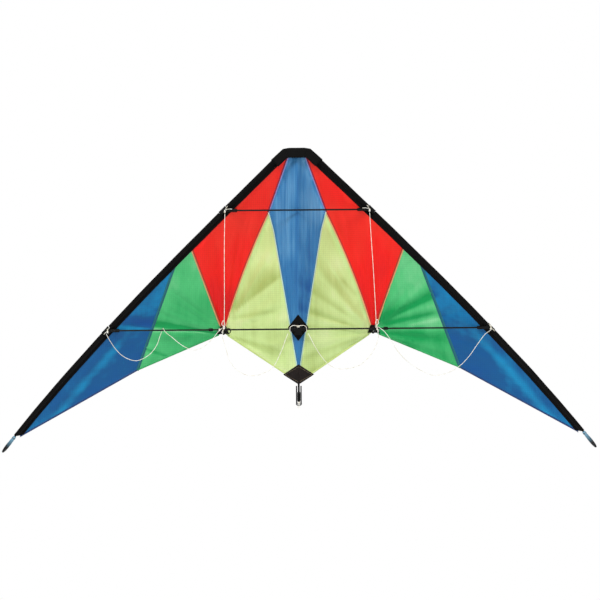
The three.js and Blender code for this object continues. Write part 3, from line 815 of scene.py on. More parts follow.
def sailY(u, drop, side):
    u = abs(u)
    share, depth = sailPlace(u, drop)
    base = plan["sailDepth"] + (depth - plan["sailDepth"]) * share
    seed = seeds[side]
    awayU, awayDrop = u - plan["standoffX"], drop - plan["standoffDrop"]
    reach = math.hypot(awayU, awayDrop)
    angle = math.atan2(awayDrop, awayU)
    held = smoothStep(0, 0.06, 1 - share) * smoothStep(4, 40, reach)
    rayX, rayY = math.cos(angle) * cloth["rayCount"], math.sin(angle) * cloth["rayCount"]
    rays = ridged(noise.noise(Vector((rayX, rayY, seed + reach / 260))))
    fine = ridged(noise.noise(Vector((rayX * 2.6, rayY * 2.6, seed * 2 + reach / 140))))
    relief = cloth["rayHeight"] * (rays + 0.35 * fine - 0.9) * (1 - 0.65 * smoothStep(120, 480, reach))
    relief += cloth["slack"] * noise.noise(Vector((u / 95, drop / 95, seed * 3)))
    relief += cloth["belly"] * math.sin(math.pi * min(share, 1)) * smoothStep(30, 160, reach)
    value = base + (relief + cloth["foldHeight"] * foldAt(u, drop, side)) * held
    if u > 330:
        inward = (halfWidth(drop) - u) * plan["edgeCosine"]
        tipFold = math.exp(-((inward - cloth["tipFoldAt"]) / 11) ** 2) * smoothStep(330, 470, u)
        value -= cloth["tipFold"] * tipFold * (1 - smoothStep(640, 705, u))
    if depth == plan["sailEdgeY"]:
        alongEdge = (drop + u) / cloth["puckerPitch"]
        distance = (1 - share) * reach / max(share, 0.05)
        gather = noise.noise(Vector((alongEdge, seed, distance / 60)))
        near = math.exp(-((distance - 14) / 22) ** 2)
        value += cloth["pucker"] * gather * near * smoothStep(0, 0.02, 1 - share)
    if u < 75:
        upright = noise.noise(Vector((u / 7, drop / 170, seed))) * cloth["fold"]
        value += upright * smoothStep(0, 8, u) * (1 - smoothStep(50, 75, u)) * smoothStep(27, 50, drop)
    return value


# seams, as places in half width and drop
seams = {
    "centreTop": (20.8, 21.5), "gore": (72, 160), "centreBend": (60, 206), "centreFoot": (5, 540),
    "redGreenDrop": 240.7, "greenBlueDrop": 282, "greenBlueFoot": (409, 558), "goreBulge": 8,
    "standoffFoot": (191, 465), "sleeveFoot": (193.5, 465), "centreEnd": 568,
    "stripWidth": 6.4, "hemWidth": 4.2, "cell": 5.5, "offset": -0.3, "thickness": 0.3,
}


def along(knots, share):
    i = 1
    while i < len(knots) - 1 and share > knots[i][0] + 1e-9:
        i += 1
    a, b = knots[i - 1], knots[i]
    t = (share - a[0]) / (b[0] - a[0])
    return (mix(a[1], b[1], t), mix(a[2], b[2], t))


def goreSeam(share):
    bulge = seams["goreBulge"] * 4 * share * (1 - share)
    (u1, drop1), (u2, drop2) = seams["gore"], seams["standoffFoot"]
    return (mix(u1, u2, share) + bulge, mix(drop1, drop2, share))


# knots at shares of a line's real length, so that cells stay even
def evenKnots(places):
    lengths = [0.0]
    for a, b in zip(places, places[1:]):
        lengths.append(lengths[-1] + math.dist(a, b))
    return [(length / lengths[-1], *place) for length, place in zip(lengths, places)]


def edgeLine(first, last, count=40):
    return [edgeKnot(mix(first, last, i / count)) for i in range(count + 1)]


goreLine = [goreSeam(i / 40) for i in range(41)]
redInner = evenKnots([seams["centreTop"], seams["gore"], *goreLine[1:]])
redOuter = evenKnots([*edgeLine(9, seams["redGreenDrop"]), seams["sleeveFoot"]])
limeInner = evenKnots([seams["gore"], seams["centreBend"], seams["centreFoot"], (2.6, plan["tailDrop"])])
limeOuter = evenKnots(goreLine)
greenInner = evenKnots([edgeKnot(seams["redGreenDrop"]), seams["sleeveFoot"]])
greenOuter = evenKnots([edgeKnot(seams["greenBlueDrop"]), seams["greenBlueFoot"]])
blueOuter = evenKnots(edgeLine(seams["greenBlueDrop"] + 1, plan["tipDrop"] - 12))
centreOuter = evenKnots([seams["centreTop"], seams["gore"], seams["centreBend"], seams["centreFoot"],
                         (1.6, seams["centreEnd"])])
centreInner = evenKnots([(0, seams["centreTop"][1]), (0, seams["centreEnd"])])


def sailPoint(side, u, drop, offset=0.0):
    return (u, sailY(u, drop, side) + offset, -drop)


# painted light and shade at each point of a mesh, as a tone read by its material
def paintLightAndShade(mesh, shadeAt):
    tones = mesh.attributes.new("tone", "FLOAT", "POINT")
    for vertex, item in zip(mesh.vertices, tones.data):
        item.value = shadeAt(vertex.co)


# the cut's flat size: its longest chord, and its spread across that chord within its mean plane
def flatSize(mesh):
    points = [v.co.copy() for v in mesh.vertices]
    rim = points[::7]
    a, b = max(((p, q) for p in rim for q in rim[::3]), key=lambda pair: (pair[0] - pair[1]).length)
    chord = (b - a).normalized()
    normal = sum((p.normal * p.area for p in mesh.polygons), Vector())
    across = normal.cross(chord).normalized()
    lengths = [p.dot(chord) for p in points]
    widths = [p.dot(across) for p in points]
    area = sum(polygon.area for polygon in mesh.polygons)
    length, width = max(lengths) - min(lengths), max(widths) - min(widths)
    return (round(width * 1.01, 4), round(length * 1.01, 4)), round(min(area, width * length), 6)


# one cut panel; crowd above 1 sets its columns closer together towards the spine
def panel(name, side, sign, inner, outer, rows, columns, finish, slot, stands, bends, crowd):
    def pointAt(rowShare, columnShare):
        columnShare **= crowd
        a, b = along(inner, rowShare), along(outer, rowShare)
        return sailPoint(side, mix(a[0], b[0], columnShare), mix(a[1], b[1], columnShare))

    mesh = gridMesh(rows, columns, pointAt, sign)
    paintLightAndShade(mesh, lambda point: paintedLightAndShadeAt(point.x / mm, -point.z / mm, side, name))
    flat, area = flatSize(mesh)
    piece = makePiece(f"{side}{name}Panel", mesh, finish, None if bends else side + "_wing", slot, stands)
    thicken(piece, cloth["thickness"])
    if bends:
        bendWithWing(applyModifiers(piece), side)
    return piece, flat, area


# a strip laid along a seam or hem, on the pilot's side of the cloth
def strip(name, side, sign, line, width, finish, slot, shift, first, last, flipped, bends):
    length = sum(math.dist(a[1:], b[1:]) for a, b in zip(line, line[1:])) * (last - first)
    rows, columns = max(int(length / seams["cell"]), 4), 3

    def pointAt(rowShare, columnShare):
        share = mix(first, last, rowShare)
        u, drop = along(line, share)
        before, after = along(line, max(share - 0.012, 0)), along(line, min(share + 0.012, 1))
        wayU, wayDrop = after[0] - before[0], after[1] - before[1]
        reach = math.hypot(wayU, wayDrop)
        aside = (columnShare - 0.5) * width + shift
        u, drop = u + wayDrop / reach * aside, drop - wayU / reach * aside
        return sailPoint(side, max(u, 0.2), drop, seams["offset"])

    mesh = gridMesh(rows, columns, pointAt, sign,
                    uvAt=lambda r, c: (r * length * mm, 1 - c if flipped else c))
    piece = makePiece(side + name, mesh, finish, None if bends else side + "_wing", slot)
    thicken(piece, seams["thickness"])
    if bends:
        bendWithWing(applyModifiers(piece), side)
    return piece


def makeSail():
    # each panel: inner and outer cut, rows, columns, finish, slot, whether it bends, and its crowding
    panels = {
        "Red": (redInner, redOuter, 90, 36, "red", "red", False, 1.0),
        "Lime": (limeInner, limeOuter, 78, 46, "lime", "lime", True, 1.8),
        "Green": (greenInner, greenOuter, 66, 34, "green", "green", False, 1.0),
        "Blue": (greenOuter, blueOuter, 100, 34, "wingBlue", "wing_blue", False, 1.0),
        "Centre": (centreInner, centreOuter, 100, 14, "skyBlue", "sky_blue", True, 1.0),
    }
    top, gore, bend, centreFoot = seams["centreTop"], seams["gore"], seams["centreBend"], seams["centreFoot"]
    width, hem, foot = seams["stripWidth"], seams["hemWidth"], seams["greenBlueFoot"]
    # each seam or hem: the panel it is sewn to, its line, width, finish, slot, shift, start, end, flipped
    strips = {
        "CentreRedSeam": ("Red", [top, gore], width, "redBlueSeam", "red", 1.0, 0.0, 1.0, True),
        "CentreLimeSeam": ("Lime", [gore, bend, centreFoot, (2.6, 566)], width, "blueLimeSeam", "sky_blue",
                           -1.0, 0.0, 1.0, False),
        "GoreSeam": ("Red", goreLine, width, "redLimeSeam", "red", 1.0, 0.0, 0.96, True),
        "RedGreenSeam": ("Green", [greenInner[0][1:], greenInner[1][1:]], width, "redGreenSeam", "red", -1.0,
                         0.0, 0.97, False),
        "GreenBlueSeam": ("Blue", [greenOuter[0][1:], foot], width, "blueGreenSeam", "wing_blue", 1.0, 0.0, 1.0,
                          False),
        "LimeHem": ("Lime", [(191, 466.6), (2.6, plan["tailDrop"])], hem, "limeHem", "lime", -hem / 2, 0.05,
                    0.985, False),
        "GreenHem": ("Green", [(192, 466.4), foot], hem, "greenHem", "green", hem / 2, 0.05, 1.0, False),
        "BlueHem": ("Blue", [foot, blueOuter[-1][1:]], hem, "blueHem", "wing_blue", hem / 2, 0.0, 0.99, False),
    }
    for side, sign in sides:
        made, sewn = {}, {name: [] for name in panels}
        for name, (inner, outer, rows, columns, finish, slot, bends, crowd) in panels.items():
            stands = (f"{side}_sail_{name.lower()}",)
            if name == "Centre":    # one CAD node for both halves
                stands = ("sail_centre",) if side == "left" else ()
            made[name] = panel(name, side, sign, inner, outer, rows, columns, finish, slot, stands, bends,
                               crowd)
        for name, (under, line, across, finish, slot, shift, first, last, flipped) in strips.items():
            sewn[under].append(strip(name, side, sign, evenKnots(line), across, finish, slot, shift, first,
                                     last, flipped, under == "Lime"))
        for name, (piece, flat, area) in made.items():
            under = "spine_rod" if name in ("Lime", "Centre") else side + "_le_sleeve"
            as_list(sewn[name])
            print(piece.name, "flat", flat, "area", area)


makeSail()


# leading edge sleeve: one strip of cloth folded round the rod and sewn shut behind it
sleeve = {
    "start": 24, "foot": 714, "cell": 5.0, "thickness": 0.4, "notchHalf": 8.4, "notchDepth": 9.2,
    "rows": {"Outer": 9.6, "Inner": 15.6},    # two rows of stitches, measured in from the edge
    "section": [(17, 4.5), (12, 4.5), (9, 4.35), (6.4, 1.2), (3.6, -3.0), (0.4, -4.3), (-2.8, -3.2),
                (-4.25, 0.2), (-3.5, 4.0), (-0.6, 6.2), (4, 6.4), (9, 6.3), (12, 6.3), (17, 6.3)],
}
upperAt, lowerAt = dropLevelWith(plan["upperDrop"]), dropLevelWith(plan["lowerDrop"])


def makeSleeve():
    half = sleeve["notchHalf"]
    stops = [sleeve["start"], upperAt - half, upperAt + half, lowerAt - half, lowerAt + half, sleeve["foot"]]
    stations = []
    for a, b in zip(stops, stops[1:]):
        count = max(round((b - a) * plan["edgeStretch"] / sleeve["cell"]), 4)
        stations += [mix(a, b, i / count) for i in range(count)]
    stations.append(sleeve["foot"])
    section = [tuple(p[:2]) for p in throughPoints([(p, q, 0) for p, q in sleeve["section"]], 3)]
    rows, columns = len(stations) - 1, len(section) - 1
    for side, sign in sides:
        seed = seeds[side] + 20

        def pointAt(rowShare, columnShare):
            drop = stations[round(rowShare * rows)]
            p, q = section[round(columnShare * columns)]
            flat = tapered(p, drop) if p > 5 else p
            ripple = noise.noise(Vector((drop / 16, p / 9, seed + q))) * 0.45
            ripple *= smoothStep(4.3, 8, p) if p > 0 else smoothStep(2, 6, q)
            drop -= 0.63 * max(p, 0) * smoothStep(sleeve["foot"] - 34, sleeve["foot"], drop)
            at = edgePoint(drop, plan["rodInset"] + flat + noise.noise(Vector((drop / 45, 3, seed))) * 0.5,
                           q + ripple * (-1 if q < 5.4 else 1) * 0.6)
            return tuple(at)

        def keep(row, column):
            middle = (stations[row] + stations[row + 1]) / 2
            inward = (section[column][0] + section[column + 1][0]) / 2
            notched = any(abs(middle - at) < half for at in (upperAt, lowerAt))
            behind = (section[column][1] + section[column + 1][1]) / 2 > 5.6
            return not (notched and inward < sleeve["notchDepth"] and not behind)

        def uvAt(r, c):
            alongEdge = stations[round(r * rows)] * plan["edgeStretch"] * mm
            return (alongEdge, abs(section[round(c * columns)][0]) / 20)

        mesh = gridMesh(rows, columns, pointAt, sign, keep, uvAt)
        piece = makePiece(side + "Sleeve", mesh, "sleeve", side + "_wing", "black_cloth",
                          (side + "_le_sleeve",))
        thicken(piece, sleeve["thickness"])
        for place, inward in sleeve["rows"].items():
            sewn = [edgePoint(d, plan["rodInset"] + tapered(inward, d), 4.0)
                    for d in [mix(33, 712, i / 160) for i in range(161)]]
            stitches(side + "SleeveStitch" + place, [mirrored(p, sign) for p in sewn], "blackThread",
                     side + "_wing", "black_cloth")


makeSleeve()
print("sleeves made")


# rods: drawn straight or along the leading edge, with a small chamfer at the ends
def rodProfile(radius, length):
    return [(0, 0), (radius - 0.4, 0), (radius, 0.5), (radius, length - 0.5), (radius - 0.4, length),
            (0, length)]


def straightRod(name, start, end, radius, body, stands):
    start, end = Vector(start), Vector(end)
    mesh = turnedMesh(rodProfile(radius, (end - start).length), start, end - start, 24)
    return makePiece(name, mesh, "rod", body, "rod", stands)


def makeRods():
    radius, level = plan["rodRadius"], -plan["lowerDrop"]
    straightRod("spineRod", (0, plan["spineY"], -9), (0, plan["spineY"], -630), radius, "spine",
                ("spine_rod",))
    upperEnd = edgePoint(upperAt, plan["rodInset"]).x - 8
    straightRod("upperSpreader", (-upperEnd, 0, -plan["upperDrop"]), (upperEnd, 0, -plan["upperDrop"]),
                plan["spreaderRadius"], "upper_spreader_body", ("upper_spreader",))
    lowerEnd = edgePoint(lowerAt, plan["rodInset"]).x - 8
    for side, sign in sides:
        body = side + "_wing"
        straightRod(side + "LowerSpreader", (6.5 * sign, 0, level), (lowerEnd * sign, 0, level),
                    plan["spreaderRadius"], body, (side + "_lower_spreader",))
        for name, first, last, steps in (("Upper", 7, 519.7, 60), ("Lower", 520.3, 726, 24)):
            mesh = tubeMesh(edgeRodLine(first, last, steps, sign), radius, 20)
            makePiece(side + "EdgeRod" + name, mesh, "rod", body, "rod", (side + "_le_rod_" + name.lower(),))
        makePiece(side + "Ferrule", tubeMesh(edgeRodLine(498, 542, 8, sign), radius + 0.75, 20), "steel", body,
                  "ferrule_steel", (side + "_le_ferrule",))


makeRods()
print("rods made")


# moulded connector: a ring on the leading edge rod and a level socket with a thickened mouth
connector = {"ring": 5.5, "bore": 2.85, "length": 22, "bead": 2.6, "socket": 4.0, "mouth": 4.35}


def makeConnectors():
    for side, sign in sides:
        for name, at, level, reach in (("Upper", upperAt, plan["upperDrop"], 35),
                                       ("Lower", lowerAt, plan["lowerDrop"], 33)):
            middle, way = edgePoint(at, plan["rodInset"]), edgeDirection(at)
            start, outward = mirrored(middle - way * connector["length"] / 2, sign), mirrored(way, sign)
            length, bead = connector["length"], connector["bead"]
            barrel = collarProfile(connector["bore"], connector["ring"], length, 0.9)
            parts = [turnedMesh(barrel, start, outward)]
            parts += [turnedMesh(collarProfile(connector["bore"], connector["ring"] + 0.45, bead, 0.5, place),
                                 start, outward) for place in (0, length - bead)]
            bore, outer, mouth = plan["spreaderRadius"] + 0.3, connector["socket"], connector["mouth"]
            profile = [(0, 0), (5.2, 0), (5.0, 4), (4.5, 8), (outer, 12), (outer, reach - 7),
                       (mouth, reach - 6), (mouth, reach - 0.7), (mouth - 0.6, reach), (bore, reach),
                       (bore, 9), (0, 9)]
            parts.append(turnedMesh(profile, mirrored((middle.x, 0, -level), sign), (-sign, 0, 0)))
            makePiece(f"{side}{name}Connector", joinMeshes(parts), "vinyl", side + "_wing", "vinyl",
                      (f"{side}_{name.lower()}_connector",))
            makeLashing(side, sign, name, middle.x, level)


# the bridle's end is lashed round the connector, and its short ends are left free, measured from the lashing
lashing = {
    "diameter": 1.3, "turns": 1.5, "upperX": 181.5, "lowerShift": {"left": -4, "right": 1},
    "Upper": {"radii": (5.1, 5.1), "knotY": -6.4,
              "ends": [[(-1, -4.6, 2.5), (-4, -6, 7), (-6.5, -5, 11)],
                       [(-2, -5.2, 1.5), (-9, -5.2, 3.6), (-18, -4.8, 3.4)]]},
    "Lower": {"radii": (6.7, 6.9), "knotY": -7.6,
              "ends": [[(-2, -6, 4), (-4, -7, 8.5), (-1, -6.4, 11.5)],
                       [(-1, -6.4, -1), (5, -7.6, -4.4), (9, -7.2, -9)]]},
}


def makeLashing(side, sign, name, middleX, level):
    body, kind = side + "_wing", lashing[name]
    x = lashing["upperX"] if name == "Upper" else middleX + lashing["lowerShift"][side]
    loop = loopLine((x * sign, 0, -level), *kind["radii"], lashing["turns"], (2.0 * sign, 0, 0), 24, 0.4)
    linePiece(f"{side}{name}Lashing", loop, lashing["diameter"], body)
    knotPiece(f"{side}{name}LashingKnot", (x * sign, kind["knotY"], -level - 3), (0, 0.1, 1), body, 0.85)
    for n, end in enumerate(kind["ends"]):
        line = throughPoints([((x + a) * sign, b, -level + c) for a, b, c in end])
        linePiece(f"{side}{name}LashingEnd{n}", line, lashing["diameter"], body)


makeConnectors()
print("connectors made")


# standoff: clip on the lower spreader, rod, cap on the sail, collar beside it
standoff = {
    "ring": (2.35, 4.6, 9, 0.8, -4.5), "collar": (2.35, 4.0, 11, 0.8), "collarX": 214,
    "stem": [(0, 3.2), (3.9, 3.2), (3.5, 6), (3.4, 17.5), (3.7, 18.2), (3.7, 19.6), (3.2, 20), (1.85, 20),
             (1.85, 8), (0, 8)],
    "cap": [(0, 0), (3.0, 0.1), (3.6, 0.6), (3.9, 1.4), (3.9, 13.2), (3.5, 14), (1.9, 14), (1.9, 3), (0, 3)],
    "rodStart": 8.5, "rodEnd": 4, "capDepth": 11,
}


def makeStandoffs():
    level = -plan["lowerDrop"]
    clipAt = Vector((plan["standoffX"], 0, level))
    capAt = Vector((plan["standoffX"], plan["sailDepth"] - standoff["capDepth"], -plan["standoffDrop"] + 1))
    way = (capAt - clipAt).normalized()
    length = (capAt - clipAt).length
    for side, sign in sides:
        body, wingBody, at = side + "_standoff", side + "_wing", mirrored(clipAt, sign)
        straightRod(side + "StandoffRod", at + way * standoff["rodStart"],
                    at + way * (length - standoff["rodEnd"]), plan["standoffRadius"], body,
                    (side + "_standoff_rod",))
        ring = turnedMesh(collarProfile(*standoff["ring"]), at, (sign, 0, 0))
        clip = joinMeshes([ring, turnedMesh(standoff["stem"], at, way)])
        cap = turnedMesh(standoff["cap"], at + way * length, -way)
        collar = turnedMesh(collarProfile(*standoff["collar"]), (standoff["collarX"] * sign, 0, level),
                            (sign, 0, 0))
        for name, mesh, rider, node in (("StandoffClip", clip, body, "_standoff_clip"),
                                        ("StandoffCap", cap, wingBody, "_standoff_cap"),
                                        ("SpreaderCollar", collar, wingBody, "_spreader_collar")):
            makePiece(side + name, mesh, "vinyl", rider, "vinyl", (side + node,))


makeStandoffs()

# line lashed round each standoff clip, and the rubber ring that stops the left one sliding
clipLashing = {"inset": 6.4, "radius": 3.0, "turns": 2.5, "ringX": -175.2, "ringY": -2.2, "ringThickness": 2.2}


def makeStandoffLashings():
    level, radius = -plan["lowerDrop"], clipLashing["radius"]
    for side, sign in sides:
        line = loopLine(((plan["standoffX"] + clipLashing["inset"]) * sign, 0, level), radius, radius,
                        clipLashing["turns"], (3.2 * sign, 0, 0), 20, 0.9)
        linePiece(side + "StandoffLashing", line, lashing["diameter"], side + "_wing")
    ring = loopLine((clipLashing["ringX"], clipLashing["ringY"], level - 3), 5.8, 6.6, steps=30,
                    wayA=(1, 0.5, 0))
    linePiece("leftStopRing", ring, clipLashing["ringThickness"], "left_wing", (), "rubber", "tee_rubber")


makeStandoffLashings()
print("standoffs made")


# centre tee: a rubber hub on the spine, with an arm to each side
tee = {
    "hub": (18, 21.6, 24), "hubY": 5.8, "rounding": 2.6, "band": (3.6, 5.2, 5, 0.8), "bandDrop": 15.2,
    "arm": [(0, 0), (5.0, 0), (5.4, 3), (5.2, 5.4), (4.6, 6.2), (4.6, 7.2), (5.4, 8), (5.8, 9), (5.8, 16.4),
            (5.6, 17.2), (4.9, 18), (2.3, 18), (2.3, 12), (0, 12)],
    "armStart": 4, "armCell": 1.5,
}


def makeTee():
    level = -plan["lowerDrop"]
    work = bmesh.new()
    bmesh.ops.create_cube(work, size=1)
    bmesh.ops.scale(work, vec=[size * mm for size in tee["hub"]], verts=work.verts)
    bmesh.ops.translate(work, vec=(0, tee["hubY"] * mm, (level - 3) * mm), verts=work.verts)
    mesh = bpy.data.meshes.new("mesh")
    work.to_mesh(mesh)
    work.free()
    hub = makePiece("teeHub", mesh, "rubber", "spine", "tee_rubber", ("centre_tee",))
    roundEdges(hub, tee["rounding"], 4)
    hub.data.shade_smooth()
    dense = []    # short steps along the arm
    for (r0, a0), (r1, a1) in zip(tee["arm"], tee["arm"][1:]):
        count = max(int(abs(a1 - a0) / tee["armCell"]), 1)
        dense += [(mix(r0, r1, i / count), mix(a0, a1, i / count)) for i in range(count)]
    dense.append(tee["arm"][-1])
    for side, sign in sides:
        arm = turnedMesh(dense, (tee["armStart"] * sign, 0, level), (sign, 0, 0))
        bendWithWing(makePiece(side + "TeeArm", arm, "rubber", None, "tee_rubber"), side)
    band = turnedMesh(collarProfile(*tee["band"]), (0, plan["spineY"], level - tee["bandDrop"]), (0, 0, -1))
    makePiece("teeBand", band, "rubber", "spine", "tee_rubber")


makeTee()


# spine: caps at both ends, two pockets that hold it to the sail, and the shock cord over its tail nock
spine = {
    "cap": [(0, 0), (2.6, 0.1), (3.1, 0.5), (3.4, 1.2), (3.4, 15.4), (3.1, 16), (2.8, 16), (2.8, 2), (0, 2)],
    "capZ": -6.5,
    "nock": [(0, 17), (2.8, 17), (2.8, 0), (3.6, 0), (3.9, 0.6), (3.9, 21.2), (3.6, 22.2), (3.0, 23.2),
             (3.0, 24.6), (3.5, 26), (3.9, 27), (3.9, 28.6), (3.3, 29.6), (2.4, 30), (0, 30)],
    "nockZ": -614,
    "pockets": (("Upper", 30, 438), ("Lower", 478, 590)), "pocketRadius": 3.4,
    "elastic": [(5.7, 9.6, -598), (5.7, 10.8, -616), (5.7, 12.2, -641), (5.7, 12.2, -644), (3.6, 12.2, -646.2)],
    "elasticDiameter": 3.2,
    "end": [(1.2, 6.4, -640), (2.2, 5.4, -649), (2.0, 5.2, -654)],
}


def makeSpineFittings():
    y = plan["spineY"]
    cap = turnedMesh(spine["cap"], (0, y, spine["capZ"]), (0, 0, -1))
    makePiece("spineTopCap", cap, "vinyl", "spine", "vinyl", ("spine_top_cap",))
    nock = turnedMesh(spine["nock"], (0, y, spine["nockZ"]), (0, 0, -1))
    makePiece("tailNock", nock, "vinyl", "spine", "vinyl", ("tail_nock",))
    for name, top, bottom in spine["pockets"]:
        def pointAt(rowShare, columnShare):
            drop = mix(top, bottom, rowShare)
            angle = 2 * math.pi * columnShare
            ripple = noise.noise(Vector((math.cos(angle), math.sin(angle), drop / 14)))
            radius = spine["pocketRadius"] + 0.22 * ripple
            return (radius * math.cos(angle), y + radius * math.sin(angle), -drop)

        mesh = weld(gridMesh(round((bottom - top) / 6), 20, pointAt), 1e-6)
        thicken(makePiece("spinePocket" + name, mesh, "sleeve", "spine", "black_cloth",
                          ("spine_pocket_" + name.lower(),)), 0.4)
    half = spine["elastic"]
    elastic = throughPoints([mirrored(p, -1) for p in half] + half[::-1])
    linePiece("tailElastic", elastic, spine["elasticDiameter"], "spine", ("tail_elastic",), "elastic",
              "elastic")
    for n, sign in enumerate((-1, 1)):
        end = throughPoints([mirrored(p, sign) for p in spine["end"]])
        linePiece(f"tailEnd{n}", end, lashing["diameter"], "spine")
    knotPiece("tailKnot", (0, 6.6, -640), (1, 0, 0), "spine", 0.9)


makeSpineFittings()


# wing tip nock, whipped with line where it leaves the sleeve
tipNock = {
    "profile": [(0, 17), (2.8, 17), (2.8, 0), (3.6, 0), (3.9, 0.6), (4.0, 8), (4.3, 15), (4.7, 23), (4.85, 30),
                (4.7, 36), (4.3, 41), (3.7, 45), (3.0, 48.2), (2.0, 50.2), (1.0, 50.9), (0, 51)],
    "fromTip": 8.5, "whipping": (3.7, 4.6, 0.95, 0.4), "turns": 4, "whippingStart": 3.0, "whippingPitch": 1.1,
}


def makeTipNocks():
    drop = plan["tipDrop"] - tipNock["fromTip"]
    at, way = edgePoint(drop, plan["rodInset"]), edgeDirection(drop)
    for side, sign in sides:
        start, outward = mirrored(at, sign), mirrored(way, sign)
        nock = turnedMesh(tipNock["profile"], start, outward)
        # painted highlight: pale near the sleeve, darkening towards the tip
        paintLightAndShade(nock, lambda point: ((point / mm - start).dot(outward) - 4) / 47)
        makePiece(side + "TipNock", nock, "tip", side + "_wing", "tip_plastic", (side + "_tip_nock",))
        starts = [tipNock["whippingStart"] + n * tipNock["whippingPitch"] for n in range(tipNock["turns"])]
        rings = [turnedMesh(collarProfile(*tipNock["whipping"], place), start, outward) for place in starts]
        makePiece(side + "TipWhipping", joinMeshes(rings), "whipping", side + "_wing", "cord")


makeTipNocks()
print("fittings made")


# nose strap: webbing folded over the top, in two halves
nose = {
    "top": [(0, 0), (20, 0), (34.6, -2.6), (49.6, -16), (64.6, -29.8)],
    "foot": [(0, -25), (20, -25), (25, -26.6), (35, -36.4), (46, -47)],
    "front": -6.0, "back": 16.6, "thickness": 1.1,
    # corners of the overlay's stitching: share along the strap and share down it
    "stitching": [(0.42, 0.16), (0.42, 0.87), (0.94, 0.87), (0.94, 0.16), (0.42, 0.87)],
}


def makeNoseStrap():
    top = evenKnots(nose["top"])
    foot = evenKnots(nose["foot"])
    front, back = nose["front"], nose["back"]
    around = [(front, 1.0), (front, 0.66), (front, 0.33), (front, 0.1), (front + 0.8, 0.03),
              (front + 2.4, 0.0), (mix(front, back, 0.5), 0.0), (back - 2.4, 0.0), (back - 0.8, 0.03),
              (back, 0.1), (back, 0.33), (back, 0.66), (back, 1.0)]
    for side, sign in sides:
        rows, columns = 28, len(around) - 1
        seed = seeds[side] + 40

        def pointAt(rowShare, columnShare):
            y, down = around[round(columnShare * columns)]
            a, b = along(top, rowShare), along(foot, rowShare)
            x, z = mix(a[0], b[0], down), mix(a[1], b[1], down)
            return (x, y + noise.noise(Vector((x / 14, z / 14, seed))) * 0.35, z)

        mesh = gridMesh(rows, columns, pointAt, sign, uvAt=lambda r, c: (r * 0.07, c))
        half = makePiece(side + "NoseStrap", mesh, "webbing", None, "webbing")
        thicken(half, nose["thickness"], -1.0)
        roundEdges(half, 0.3, 2)
        bendWithWing(applyModifiers(half), side)

        def onStrap(share, down, y):
            a, b = along(top, share), along(foot, share)
            return (mix(a[0], b[0], down), y, mix(a[1], b[1], down))

        def overAt(rowShare, columnShare):
            return onStrap(mix(0.36, 0.98, rowShare), mix(0.1, 0.93, columnShare), front - 0.5)

        over = makePiece(side + "NoseOverlay", gridMesh(12, 6, overAt, sign), "webbing", side + "_wing",
                         "webbing")
        thicken(over, 0.8)
        for n, row in enumerate(zip(nose["stitching"], nose["stitching"][1:])):
            ends = [mirrored(onStrap(share, down, front - 1.0), sign) for share, down in row]
            stitches(f"{side}NoseStitch{n}", ends, "blackThread", side + "_wing", "webbing", 3.2)
    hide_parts("nose_webbing")


makeNoseStrap()


# reinforcing patches, in front of the cloth; the two at the centre are made as halves
patches = {
    "Centre": {"drops": (419, 451, 484), "half": 26, "finish": "patch", "slot": "black_cloth",
               "window": (447.5, 468.5, 7.5), "thread": "blackThread", "pitch": 3.0, "threadRadius": 0.32},
    "Tail": {"drops": (544, 570, 594), "half": 39, "finish": "tailPatch", "slot": "tail_cloth",
             "window": None, "thread": "tanThread", "pitch": 3.4, "threadRadius": 0.5},
}


def makeDiamondHalf(name, side, sign):
    kind, offset = patches[name], -1.0
    (top, corner, bottom), half, window = kind["drops"], kind["half"], kind["window"]
    knots = [(0, 0.6, top), ((corner - top) / (bottom - top), half, corner), (1, 0.6, bottom)]
    rows, columns = round((bottom - top) / 2), 12
    def keep(row, column):    # the centre patch is open where the tee passes through
        drop = mix(top, bottom, (row + 0.5) / rows)
        u = along(knots, (row + 0.5) / rows)[0] * (column + 0.5) / columns
        return not (window and window[0] < drop < window[1] and u < window[2])

    def pointAt(rowShare, columnShare):
        u, drop = along(knots, rowShare)
        return sailPoint(side, u * columnShare, drop, offset)

    mesh = gridMesh(rows, columns, pointAt, sign, keep)
    stands = (name.lower() + "_patch",) if side == "left" else ()
    piece = makePiece(f"{side}{name}Patch", mesh, kind["finish"], None, kind["slot"], stands)
    thicken(piece, 0.8)
    bendWithWing(applyModifiers(piece), side)
    rim = evenKnots([(0.08, top + 6), (half - 5, corner), (0.08, bottom - 6)])
    line = [mirrored(sailPoint(side, u, drop, offset - 0.5), sign)
            for u, drop in [along(rim, i / 40) for i in range(41)]]
    bendWithWing(stitches(f"{side}{name}PatchStitch", line, kind["thread"], None, kind["slot"], kind["pitch"],
                          thread=kind["threadRadius"]), side)


def makePatches():
    for side, sign in sides:
        for name in patches:
            makeDiamondHalf(name, side, sign)

        def edgeAt(rowShare, columnShare):
            u = mix(mix(185, 177, rowShare), mix(198, 209, rowShare), columnShare)
            return sailPoint(side, u, 447.5 + 20 * rowShare, -4.4)

        thicken(makePiece(side + "EdgePatch", gridMesh(10, 16, edgeAt, sign), "patch", side + "_wing",
                          "black_cloth", (side + "_edge_patch",)), 0.9)


makePatches()
print("patches made")


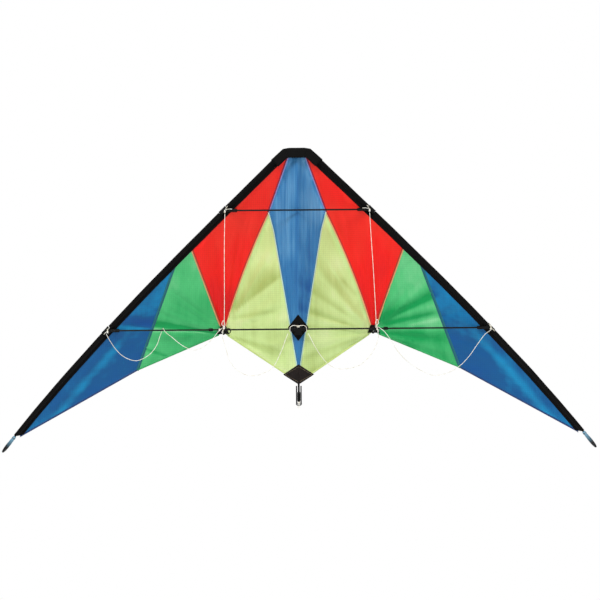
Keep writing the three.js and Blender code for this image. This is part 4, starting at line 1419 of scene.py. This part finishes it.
# studio: pale floor, white surroundings, large soft lights
studio = {"floor": -2.0, "half": 5.8, "ambient": 0.52, "backdrop": 1.0}


def makeStudio():
    world = bpy.data.worlds.new("studio")
    world.use_nodes = True
    tree = world.node_tree
    tree.nodes.clear()
    white = (1, 1, 1, 1)
    seen = addNode(tree, "Background", {"Color": white, "Strength": studio["backdrop"]})
    lit = addNode(tree, "Background", {"Color": white, "Strength": studio["ambient"]})
    path = addNode(tree, "LightPath")
    both = addNode(tree, "MixShader", {0: path.outputs["Is Camera Ray"], 1: lit, 2: seen})
    addNode(tree, "OutputWorld", {"Surface": both})
    bpy.context.scene.world = world
    # plain sRGB, so dyed cloth keeps its own colour
    bpy.context.scene.view_settings.view_transform = "Standard"
    half, level = studio["half"], studio["floor"]
    mesh = bpy.data.meshes.new("floor")
    corners = [(-half, -half, level), (half, -half, level), (half, half, level), (-half, half, level)]
    mesh.from_pydata(corners, [], [(0, 1, 2, 3)])
    floor = bpy.data.objects.new("floor", mesh)
    bpy.context.collection.objects.link(floor)
    paint, tree, place = newMaterial("matt white studio floor")
    mottle = addNode(tree, "TexNoise", {"Scale": 2.0, "Detail": 4.0, "Vector": place})
    tone = addNode(tree, "ValToRGB", {"stops": [(0.3, "#F4F4F3"), (0.7, "#FAFAFA")], "Fac": mottle})
    shader = addNode(tree, "BsdfPrincipled", {"Base Color": tone, "Roughness": 0.8})
    addNode(tree, "OutputMaterial", {"Surface": shader})
    mesh.materials.append(paint)
    for name, energy, size, place in (("key", 150, 1.8, (-1.6, -3.2, 3.6)), ("fill", 40, 3.0, (2.6, -4.2, 0.4)),
                                      ("top", 40, 3.0, (0, 1.5, 3.4)), ("back", 35, 2.6, (1.5, 4.0, 1.6))):
        data = bpy.data.lights.new(name, "AREA")
        data.energy, data.size, data.shape = energy, size, "DISK"
        lamp = bpy.data.objects.new(name, data)
        lamp.location = place
        lamp.rotation_euler = (Vector((0, 0, -0.4)) - Vector(place)).to_track_quat("-Z", "Y").to_euler()
        bpy.context.collection.objects.link(lamp)


makeStudio()
print("studio made")
